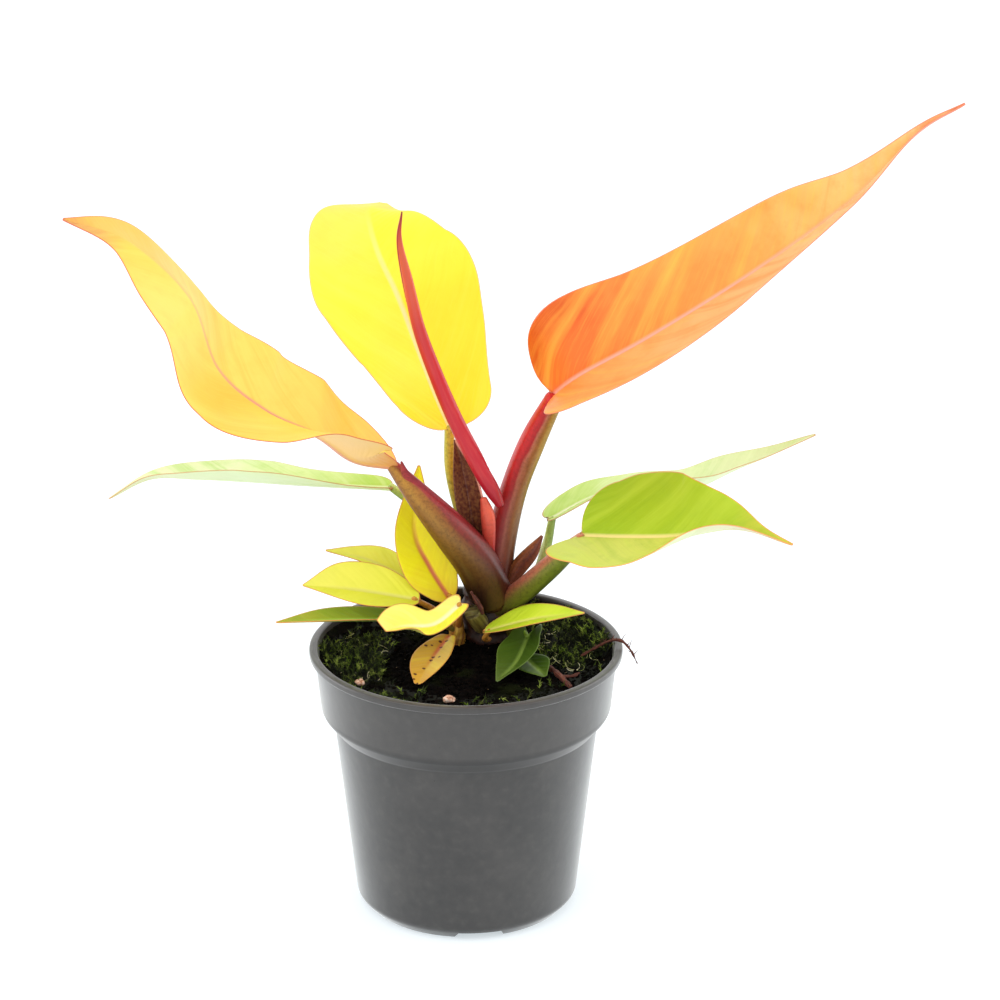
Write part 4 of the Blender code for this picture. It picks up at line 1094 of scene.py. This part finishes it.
def leaf_finish(name, right, left, under, rib="#F0B8A0", margin="#E2784C", light="#FFE66A", shade="#E89030",
                streaks=0.5, cloud=0.2, specks=0.0, rib_reach=(0.4, 0.85), roughness=0.4, flush=None):
    """Leaf skin. Right, left and under run from the foot (0) to the tip (1) of each half and below."""
    made, tree, shader = new_finish(name, roughness, 1.42, 0.35)
    along_leaf, across_leaf, underside = stored(tree, "leaf_place")
    to_margin, to_rib, _ = stored(tree, "leaf_size")
    veins = add(tree, "Attribute", attribute_name="leaf_vein")
    spot = add(tree, "TexCoord").outputs["Object"]
    drift = add(tree, "TexNoise", {"Vector": spot, "Scale": 45.0, "Detail": 3.0})
    shift = add(tree, "MapRange", {0: drift, 1: 0.3, 2: 0.7, 3: -cloud / 2, 4: cloud / 2})
    read = add(tree, "Math", {0: along_leaf, 1: shift}, operation="ADD")
    right_tone = add(tree, "ValToRGB", {0: read}, stops=right)
    left_tone = add(tree, "ValToRGB", {0: read}, stops=left)
    halves = add(tree, "MapRange", {0: across_leaf, 1: -0.06, 2: 0.06})
    tone = add(tree, "Mix", {0: halves, 6: left_tone, 7: right_tone}, data_type="RGBA")
    broad = add(tree, "TexNoise",
                {"Vector": veins.outputs["Vector"], "Scale": 0.55, "Detail": 5.0, "Roughness": 0.6,
                 "Distortion": 0.5})
    if flush:
        near_foot = add(tree, "MapRange", {0: read, 1: 0.27, 2: 0.12})
        near_margin = add(tree, "MapRange", {0: across_leaf, 1: -0.45, 2: -0.8, 3: 0.0, 4: 0.85})
        reddened = add(tree, "Math", {0: near_foot, 1: near_margin}, operation="MULTIPLY")
        tone = add(tree, "Mix", {0: reddened, 6: tone, 7: flush}, data_type="RGBA")
    blotches = add(tree, "TexNoise", {"Vector": spot, "Scale": 120.0, "Detail": 6.0, "Roughness": 0.65})
    blotch = add(tree, "MapRange", {0: blotches, 1: 0.48, 2: 0.7, 3: 0.0, 4: streaks * 0.6})
    tone = add(tree, "Mix", {0: blotch, 6: tone, 7: shade}, data_type="RGBA")
    lit = add(tree, "MapRange", {0: broad, 1: 0.5, 2: 0.68, 3: 0.0, 4: streaks})
    lightened = add(tree, "Mix", {0: lit, 6: tone, 7: light}, data_type="RGBA")
    dim = add(tree, "MapRange", {0: broad, 1: 0.46, 2: 0.32, 3: 0.0, 4: streaks})
    dimmed = add(tree, "Mix", {0: dim, 6: lightened, 7: shade}, data_type="RGBA")
    fine = add(tree, "TexNoise", {"Vector": veins.outputs["Vector"], "Scale": 7.0, "Detail": 3.0})
    hatch = add(tree, "MapRange", {0: fine, 1: 0.5, 2: 0.7, 3: 0.0, 4: 0.12})
    veined = add(tree, "Mix", {0: hatch, 6: dimmed, 7: light}, data_type="RGBA")
    under_tone = add(tree, "ValToRGB", {0: read}, stops=under)
    under_dim = add(tree, "Math", {0: dim, 1: 0.45}, operation="MULTIPLY")
    under_lined = add(tree, "Mix", {0: under_dim, 6: under_tone, 7: shade}, data_type="RGBA")
    sides = add(tree, "Mix", {0: underside, 6: veined, 7: under_lined}, data_type="RGBA")
    rib_near = add(tree, "MapRange", {0: to_rib, 1: 1.4, 2: 0.4})
    rib_fade = add(tree, "MapRange", {0: along_leaf, 1: rib_reach[1], 2: rib_reach[0]})
    rib_line = add(tree, "Math", {0: rib_near, 1: rib_fade}, operation="MULTIPLY")
    ribbed = add(tree, "Mix", {0: rib_line, 6: sides, 7: rib}, data_type="RGBA")
    margin_line = add(tree, "MapRange", {0: to_margin, 1: 0.5, 2: 0.1})
    last = add(tree, "Mix", {0: margin_line, 6: ribbed, 7: margin}, data_type="RGBA")
    if specks:
        dots = add(tree, "TexVoronoi", {"Vector": spot, "Scale": 330.0})
        chance = add(tree, "SeparateColor", {0: dots.outputs["Color"]})
        few = add(tree, "Math", {0: chance.outputs[0], 1: 1 - specks}, operation="GREATER_THAN")
        near = add(tree, "Math", {0: dots, 1: 0.24}, operation="LESS_THAN")
        dot = add(tree, "Math", {0: few, 1: near}, operation="MULTIPLY")
        last = add(tree, "Mix", {0: dot, 6: last, 7: "#5A2A12"}, data_type="RGBA")
    relief = add(tree, "Bump", {"Strength": 0.2, "Distance": 0.0003, "Height": fine})
    fill(tree, shader, {"Base Color": last, "Normal": relief})
    return made


yellow_sheath = leaf_piece("open_sheath", OPEN_SHEATH, open_sheath_skin, rows=70, columns=16, thick=0.5,
                           rib=0.4)
belong(yellow_sheath, "stalk_brown")

# Orange leaf: the longest, a trough that turns over towards its tip, orange with yellow streaks
# along the side veins and a red flush at the foot.
orange_skin = leaf_finish(
    "orange_leaf_skin",
    right=[(0.0, "#F4924A"), (0.25, "#FAA460"), (0.6, "#FBB07C"), (0.85, "#F9BE92"), (1.0, "#C86A50")],
    left=[(0.0, "#E8702A"), (0.1, "#E66C22"), (0.24, "#EC8230"), (0.5, "#F29E48"), (0.72, "#F9C070"),
          (0.9, "#F7C482"), (1.0, "#C8705A")],
    under=[(0.0, "#E8925C"), (0.5, "#EEA070"), (1.0, "#D08A74")],
    rib="#F2A08A", margin="#E8886A", light="#FCC048", shade="#EA7426", streaks=0.45, cloud=0.16,
    specks=0.004, flush="#CC4A0C",
)
orange_leaf = leaf_piece("leaf_orange_skin", dict(
    midrib=((25, -11, 106), (35, -17, 116), (61, -22, 133), (99, -24, 159), (133, -30, 188),
            (156, -32, 214), (173, -35, 226)),
    face=((-0.25, -0.55, 0.8), (-0.35, -0.4, 0.85), (-0.2, -0.55, 0.8), (-0.15, -0.65, 0.75)),
    left_widths=(28.5, 30.5, 28.5, 26.5, 23, 18, 9.5, 3, 0.6),
    right_widths=(17, 27.5, 34, 35, 29, 19.5, 10.5, 3.5, 0.6),
    left=(30, 15, 25, 38), right=(20, 20, 36, 60), left_lobe=8, right_lobe=5,
), orange_skin, rows=170, columns=34)
belong(orange_leaf, "orange", "leaf_orange")

# Amber leaf: on the left, waved, its foot rolled up so that the pale underside shows.
amber_skin = leaf_finish(
    "amber_leaf_skin",
    right=[(0.0, "#F4C468"), (0.2, "#F6CC5C"), (0.5, "#F7D05C"), (0.75, "#F6C268"), (0.94, "#EEB85A"),
           (1.0, "#C87A4E")],
    left=[(0.0, "#F2CC50"), (0.3, "#F4D44E"), (0.45, "#EEBC3A"), (0.65, "#F6D464"), (0.85, "#ECC648"),
          (1.0, "#C87A4E")],
    under=[(0.0, "#E8A060"), (0.12, "#F2C478"), (0.6, "#F0C070"), (1.0, "#DC9858")],
    rib="#DE947A", margin="#D0644A", light="#FADC6A", shade="#ECB440", streaks=0.4, cloud=0.06,
)
amber_leaf = leaf_piece("leaf_amber_skin", dict(
    midrib=((-34, -14, 78), (-50, -17, 82), (-63, -26, 95), (-82, -34, 108), (-99, -36, 125),
            (-109, -36, 153), (-131, -32, 173), (-155, -30, 181)),
    face=((0.1, -0.4, 0.9), (0.05, -0.35, 0.95), (0.35, -0.1, 0.95), (0.25, -0.45, 0.85)),
    left_widths=(12, 25, 26.5, 35.5, 37.5, 36, 27.5, 10.5, 0.6),
    right_widths=(10, 21, 27, 29.5, 29, 19, 14, 10, 0.6),
    left=(62, 37, 0, -5, 16), right=(22, 13, 0, -14, 12), lobe=2,
), amber_skin, rows=170, columns=34)
belong(amber_leaf, "amber", "leaf_amber")

# Yellow leaf: broad and upright behind the spear, its tip bent back and away.
yellow_skin = leaf_finish(
    "clear_yellow_leaf_skin",
    right=[(0.0, "#F6DC1E"), (0.3, "#F6DF2E"), (0.7, "#F6E034"), (0.84, "#EEDE38"), (0.9, "#E8D440"),
           (1.0, "#E4CE40")],
    left=[(0.0, "#F6DC1E"), (0.3, "#F7E030"), (0.55, "#F4DE38"), (0.75, "#ECDA4C"), (0.9, "#E8D44C"),
          (1.0, "#E4CE48")],
    under=[(0.0, "#F2DC58"), (1.0, "#F6E888")],
    rib="#F4DC94", margin="#F0B07C", light="#F8EC58", shade="#EED01E", streaks=0.3,
)
yellow_leaf = leaf_piece("leaf_yellow_skin", dict(
    midrib=((-14, 1, 88), (-20, 10, 99), (-27, 17, 116), (-34, 22, 134), (-42, 35, 148),
            (-46, 57, 157), (-42, 76, 155)),
    face=((0.4, -0.75, 0.55), (0.25, -0.75, 0.6), (-0.05, -0.7, 0.7), (-0.05, -0.1, 1)),
    left_widths=(18.5, 24, 29.5, 32, 26, 21.5, 8),
    right_widths=(19, 24, 29.5, 32, 26, 17, 3), left=(18, 14, -2, -12), right=(9, 7, -3, -12), lobe=3,
), yellow_skin, rows=150, columns=34)
belong(yellow_leaf, "yellow", "leaf_yellow")

# Lime leaf: low on the right, its near edge turned under so that the pale back shows.
lime_skin = leaf_finish(
    "lime_leaf_skin",
    right=[(0.0, "#C0CC50"), (0.4, "#C8D254"), (0.7, "#C6CC50"), (1.0, "#D4C058")],
    left=[(0.0, "#96B816"), (0.4, "#A0BE16"), (0.75, "#AAC61C"), (1.0, "#C4C034")],
    under=[(0.0, "#DCE8A8"), (0.6, "#E0E8B4"), (1.0, "#E8C8A0")],
    rib="#E8DC88", margin="#E89A58", light="#C4DC40", shade="#86AC10", streaks=0.4,
)
lime_leaf = leaf_piece("leaf_lime_skin", dict(
    midrib=((36, -21, 53), (51, -30, 56), (71, -42, 61), (93, -52, 68), (113, -61, 65)),
    face=((0.1, -0.45, 0.9), (-0.05, -0.5, 0.85), (-0.1, -0.5, 0.85)),
    left_widths=(20, 26, 27, 24, 15, 4, 0.6), right_widths=(22, 26, 25, 25, 17, 5, 0.6),
    left=(14, 16, 18, 18), right=(15, 16, 50, 55), left_lobe=5, right_lobe=10,
), lime_skin, rows=130, columns=30)
belong(lime_leaf, "lime", "leaf_lime")

# The two pale leaves behind, seen edge on, so mostly their whitish green backs show.
pale_skin = leaf_finish(
    "pale_green_leaf_skin",
    right=[(0.0, "#B4D458"), (0.3, "#CCE090"), (0.6, "#DCE8B4"), (1.0, "#D4D8A0")],
    left=[(0.0, "#A8D048"), (0.3, "#C4DC84"), (0.6, "#D4E4A8"), (1.0, "#D0D498")],
    under=[(0.0, "#CFE08A"), (0.5, "#DDEBB4"), (1.0, "#D8D8A0")],
    rib="#E8F0C8", margin="#C89A68", light="#E4F0B8", shade="#9CC848", streaks=0.5,
)
pale_right = leaf_piece("leaf_pale_right_skin", dict(
    midrib=((24, 9, 48), (42, 16, 55), (61, 24, 55), (81, 29, 54), (98, 36, 59), (129, 49, 68)),
    face=((-0.2, 0, 1), (-0.25, 0.15, 0.95), (-0.1, -0.1, 1)),
    widths=(9, 13, 17, 19, 14, 5, 0.6), left=(6, 8, 12), right=(11, 15, 12), lobe=4,
), pale_skin, rows=120, columns=24)
belong(pale_right, "pale_right", "leaf_pale_right")
pale_left = leaf_piece("leaf_pale_left_skin", dict(
    midrib=((-37, 9, 61), (-73, 24, 57), (-93, 30, 56), (-113, 35, 55), (-132, 40, 53), (-149, 44, 43)),
    face=((0.5, -0.2, 0.85), (0.3, 0.1, 0.95), (0, 0, 1)),
    left_widths=(8, 18, 21, 19, 14, 6, 0.6), right_widths=(7, 10, 14, 20, 16, 7, 0.6),
    left=(11, 17, 14), right=(12, 9, 12), lobe=2,
), pale_skin, rows=120, columns=24)
belong(pale_left, "pale_left", "leaf_pale_left")

# ---------------------------------------------------------------------------------------------
# Spear: the youngest leaf, still rolled round itself like a scroll. Its free edge runs down it in a
# slow spiral and leaves a step.
spear_skin, tree, shader = new_finish("rolled_young_leaf_skin", 0.33, 1.42, 0.5)
size = add(tree, "Attribute", attribute_name="stalk_size")
tone = add(tree, "ValToRGB", {0: stored(tree, "stalk_place")[0]},
           stops=[(0.0, "#9C1828"), (0.12, "#B81C2C"), (0.45, "#BE2430"), (0.62, "#BC3434"),
                  (0.72, "#C85038"), (0.88, "#C85836"), (0.96, "#A8362C"), (1.0, "#7E2620")])
threads = add(tree, "TexNoise", {"Vector": size.outputs["Vector"], "Scale": 1.6, "Detail": 5.0})
lift = add(tree, "MapRange", {0: threads, 1: 0.45, 2: 0.7, 3: 0.0, 4: 0.35})
lifted = add(tree, "Mix", {0: lift, 6: tone, 7: "#D04A44"}, data_type="RGBA")
# Painted shade: a dark red band on the inner turn right beside the step, under the overhanging free edge.
overlap = add(tree, "Attribute", attribute_name="overlap")
step_painted_shade = add(tree, "Mix", {0: overlap.outputs["Fac"], 6: lifted, 7: "#7A1420"}, data_type="RGBA")
relief = add(tree, "Bump", {"Strength": 0.3, "Distance": 0.0003, "Height": threads})
fill(tree, shader, {"Base Color": step_painted_shade, "Normal": relief})


def overlap_angle(share):
    """Where the free edge lies round the spear."""
    return 0.6 + 5.2 * share


def scroll_section(angle, share):
    """A roll whose radius grows by a step where the free edge lies."""
    after = np.mod(angle - overlap_angle(share), 2 * math.pi) / (2 * math.pi)
    swell = 0.86 + 0.2 * after
    return np.cos(angle) * swell, np.sin(angle) * swell


spear = swept("rolled_leaf", from_crown([
    (5, -9, 61), (2, -8.5, 67), (-3.5, -8, 77), (-11, -7, 92), (-18.5, -6, 110),
    (-25.5, -5, 130), (-29.5, -5, 149), (-32.5, -5, 165), (-31.5, -5, 176),
]), [1.8, 3.1, 3.3, 3.1, 2.9, 2.6, 2.1, 1.1, 0.3], spear_skin, rings=200, sides=72, facing=(0, -1, 0),
    section=scroll_section)
# The overlap value is the painted shade's strength: strongest at the step, gone 0.45 radians further round.
layer = spear.data.attributes.new("overlap", "FLOAT", "POINT")
spread = np.zeros(len(spear.data.vertices) * 3, np.float32)
spear.data.attributes["stalk_place"].data.foreach_get("vector", spread)
spread = spread.reshape(-1, 3)
turned_by = np.mod(np.arctan2(spread[:, 2], spread[:, 1]) - overlap_angle(spread[:, 0]), 2 * math.pi)
layer.data.foreach_set("value", (np.clip(1 - turned_by / 0.45, 0, 1) * 0.85).astype(np.float32))
belong(spear, "rolled_red", "leaf_rolled_red")

# ---------------------------------------------------------------------------------------------
# Basal leaves: small first leaves round the foot of the plant, from clear yellow through gold to
# dark green, each with its short stalk as it grew.
GOLD = dict(right=[(0.0, "#F4CC30"), (0.3, "#FCF010"), (1.0, "#FAF030")],
            left=[(0.0, "#F8D828"), (0.3, "#FEF61A"), (1.0, "#FAF230")],
            under=[(0.0, "#E0B848"), (1.0, "#E8D060")], rib="#D8784A", margin="#D89A48", light="#F4E648",
            shade="#E0B424", rib_reach=(0.35, 0.7))
YELLOW = dict(right=[(0.0, "#E4E840"), (0.6, "#F0F060"), (1.0, "#E8E86A")],
              left=[(0.0, "#D4D830"), (0.6, "#DEE238"), (1.0, "#D8DC50")],
              under=[(0.0, "#D0D460"), (1.0, "#DCE078")], rib="#E0E070", margin="#D8944C", light="#F0F25C",
              shade="#C0CC28", rib_reach=(0.5, 0.9))
GREEN = dict(right=[(0.0, "#8AA02A"), (0.6, "#9AA42C"), (1.0, "#A8A838")],
             left=[(0.0, "#7E9A26"), (0.6, "#8CA028"), (1.0, "#9CA236")],
             under=[(0.0, "#98B050"), (1.0, "#A8BC60")], rib="#A8C850", margin="#D88A40", light="#A8CC48",
             shade="#6A9824", rib_reach=(0.5, 0.9))
DARK = dict(right=[(0.0, "#3E5414"), (0.6, "#445A16"), (1.0, "#4E601C")],
            left=[(0.0, "#384E12"), (0.6, "#3E5616"), (1.0, "#4E601C")],
            under=[(0.0, "#5A7834"), (1.0, "#66843C")], rib="#728A3A", margin="#5E7430", light="#50702A",
            shade="#2A4A16", rib_reach=(0.7, 0.98))
basal_skins = {
    "gold": leaf_finish("gold_basal_leaf_skin", streaks=0.25, **GOLD),
    "spotted": leaf_finish("spotted_basal_leaf_skin", specks=0.55, streaks=0.5, **{
        **GOLD, "right": [(0.0, "#CC9A3C"), (0.5, "#DCAE40"), (1.0, "#D09A34")],
        "left": [(0.0, "#E4CC40"), (0.5, "#E0B842"), (1.0, "#D09A34")], "shade": "#B8862C"}),
    "yellow": leaf_finish("yellow_basal_leaf_skin", specks=0.01, streaks=0.2, **YELLOW),
    "pale": leaf_finish("pale_folded_leaf_skin", streaks=0.35, **{
        **YELLOW, "right": [(0.0, "#F4F080"), (0.6, "#F8F470"), (1.0, "#F8F084")],
        "left": [(0.0, "#E8EA3C"), (0.6, "#F0F048"), (1.0, "#F4EC60")], "rib": "#F8F2C0", "light": "#FBF8A0",
        "shade": "#E4E43C"}),
    "lime": leaf_finish("lime_basal_leaf_skin", specks=0.06, streaks=0.4, **{
        **YELLOW, "right": [(0.0, "#BCD42C"), (0.6, "#CCE22E"), (1.0, "#D4E440")],
        "left": [(0.0, "#C4DC30"), (0.6, "#D0E632"), (1.0, "#D8E848")], "shade": "#ACCC24"}),
    "green": leaf_finish("green_basal_leaf_skin", streaks=0.4, **GREEN),
    "dark": leaf_finish("dark_green_basal_leaf_skin", streaks=0.3, roughness=0.33, **DARK),
}
basal_stalk_skin = stalk_finish(
    "basal_leaf_stalk", foot=[(0.0, "#C07A38"), (1.0, "#9A5A2A")], top=[(0.0, "#E0A040"), (1.0, "#C88A34")],
    stipple=0.25,
)
green_stalk_skin = stalk_finish(
    "basal_green_stalk", foot=[(0.0, "#7A6A2C"), (1.0, "#4E4A1E")], top=[(0.0, "#86A23A"), (1.0, "#6A8A2C")],
    stipple=0.25,
)
for name, slot, skin, stalk_skin, stalk, radius, leaf in (
    ("small_upright", "small_gold", "gold", basal_stalk_skin,
     ((-12, -7, 11), (-13, -9, 18), (-14.5, -9.5, 24)), 1.1, dict(
        midrib=((-14, -10, 22), (-22, -6, 34), (-28, -2, 48), (-26, 4, 72)), face=((0.15, -0.95, 0.3),),
        widths=(4, 11, 9, 5.5, 0.5), left=(16,), right=(13,))),
    ("small_back_left", "small_yellow", "yellow", basal_stalk_skin,
     ((-7, 1, 9), (-18, 5, 17), (-31, 6, 24.5)), 1.2, dict(
        midrib=((-29, 6, 23.5), (-46, 5, 32.5), (-62, 0, 38.5)), face=((0.15, -0.3, 0.95),),
        widths=(6, 9, 5, 0.5), left=(17,), right=(11,))),
    ("small_left", "small_yellow", "yellow", basal_stalk_skin,
     ((-12, -6.5, 8.5), (-20, -7, 16.5), (-28, -15, 24.5)), 1.2, dict(
        midrib=((-26, -15, 24), (-49, -15, 28), (-70, -22, 33)), face=((0.2, -0.4, 0.9),),
        widths=(5, 12, 11, 0.5), left=(17,), right=(12,))),
    ("small_green_left", "small_green", "green", green_stalk_skin,
     ((-12, -8.5, 9), (-20, -13, 14), (-31, -19, 18.2)), 1.1, dict(
        midrib=((-29, -19, 18), (-54, -25, 20), (-80, -30, 21)), face=((0.05, 0, 1),),
        widths=(5, 8, 7, 0.6), left=(18,), right=(12,))),
    ("small_folded", "small_yellow", "pale", basal_stalk_skin,
     ((-11, -8, 10), (-10.5, -14, 17), (-10.5, -20.5, 24.5)), 1.1, dict(
        midrib=((-10, -20, 24.5), (-20, -26, 18.5), (-31, -33, 20.5), (-38, -42, 22.5)),
        face=((0, -0.5, 0.85),),
        widths=(5, 6, 10, 6), left=(16, 22, 35), right=(30, 15, 8), lobe=3)),
    ("small_spotted", "small_gold", "spotted", basal_stalk_skin,
     ((-12, -9, 3), (-14, -10.5, 5.5), (-16, -13, 6.2)), 0.9, dict(
        midrib=((-14.5, -9.5, 7), (-20.5, -26, 5), (-26, -46, 2.5)), face=((-0.1, -0.3, 0.95),),
        widths=(3, 6, 7.5, 6, 1.5), left=(12,), right=(9,))),
    ("small_lime_right", "small_yellow", "lime", basal_stalk_skin,
     ((3, -6, 4.5), (-1, -13, 7), (1, -16.5, 12)), 1.0, dict(
        midrib=((-1, -16, 11.5), (18, -23, 19.5), (37, -29, 24.5)), face=((0.05, -0.25, 0.95),),
        widths=(3, 8.5, 6.5, 0.5), left=(9,), right=(14,))),
    ("small_dark_green", "small_green", "dark", green_stalk_skin,
     ((7, -5, 6), (13, -13, 11), (15.5, -20, 11)), 1.1, dict(
        midrib=((16, -19, 11), (11, -34, 6), (4, -49, 5)), face=((-0.3, -0.45, 0.85),),
        widths=(6, 9, 6, 0.7), left=(21,), right=(18,), lobe=6)),
    ("small_green_under", "small_green", "dark", green_stalk_skin,
     ((7, -6, 4), (11, -14, 5.5), (15, -26, 4.6)), 0.9, dict(
        midrib=((14, -24, 4.6), (22, -42, 4)), face=((0, -0.4, 0.9),),
        widths=(3, 6.5, 1), left=(7,), right=(6,))),
):
    blade = leaf_piece(f"leaf_{name}_skin", leaf, basal_skins[skin], rows=60, columns=18, thick=0.5, rib=0.6)
    belong(blade, slot, f"leaf_{name}")
    carrier = swept(f"{name}_stalk", from_crown(stalk), [radius * 1.2, radius, radius * 0.9], stalk_skin,
                    rings=30, sides=20)
    belong(carrier, slot)

# ---------------------------------------------------------------------------------------------
# What is left of older leaves at the crown: a cut stub with a hollow pith, a curled dry bract, and
# a brown sheath behind the lime leaf's stalk.

# Old stub: greenish brown, streaked and dry, with the inside of its hollow pith painted near black.
stub_skin, tree, shader = new_finish("cut_stub_skin", 0.6)
size = add(tree, "Attribute", attribute_name="stalk_size")
streaks = add(tree, "TexNoise", {"Vector": size.outputs["Vector"], "Scale": 1.5, "Detail": 6.0})
tone = add(tree, "ValToRGB", {0: streaks}, stops=[(0.3, "#3E2A12"), (0.5, "#6A5E28"), (0.68, "#948A44")])
hollow = add(tree, "MapRange", {0: stored(tree, "stalk_place")[0], 1: 0.74, 2: 0.8})
pith_darkened = add(tree, "Mix", {0: hollow, 6: tone, 7: "#1E100A"}, data_type="RGBA")
fill(tree, shader, {"Base Color": pith_darkened})

# The stub's centre line runs out to the cut and then back down into the pith.
stub_line = from_crown([(-1, -6, 9), (-3.2, -10.6, 13.6), (-5.5, -15.0, 19), (-5.3, -14.6, 18.6),
                        (-4.3, -12.6, 16)])
stub = swept("old_stub", stub_line, [3.6, 3.5, 3.2, 1.5, 1.0], stub_skin, rings=60, sides=32,
             facing=(0, 1, 1), blunt=0.2)
belong(stub, "dry_stem", "stub_old_stem")

bract_line = from_crown([(-1.5, -15.8, 19), (-3.2, -16.2, 23), (-6.0, -16.4, 28)])
bract = swept("dry_bract", bract_line, [0.9, 1.0, 0.5], dry_bark, rings=24, sides=12, knots=0.5)
belong(bract, "dry_stem")

brown_sheath_skin = stalk_finish(
    "dry_brown_sheath", foot=[(0.0, "#6A301A"), (1.0, "#8E5A30")],
    top=[(0.0, "#6A2A16"), (0.4, "#945026"), (1.0, "#C08448")], stipple=0.4, roughness=0.55,
)
brown_sheath = swept("brown_sheath", from_crown([(8, -2, 25), (12, -1, 32), (17, 0, 38), (21, 1, 44)]),
                     [2.0, 3.0, 2.6, 0.6], brown_sheath_skin, rings=60, sides=36, facing=(0.6, -0.7, 0.2),
                     section=channelled_section(0.4))
belong(brown_sheath, "dry_stem", "sheath_brown")
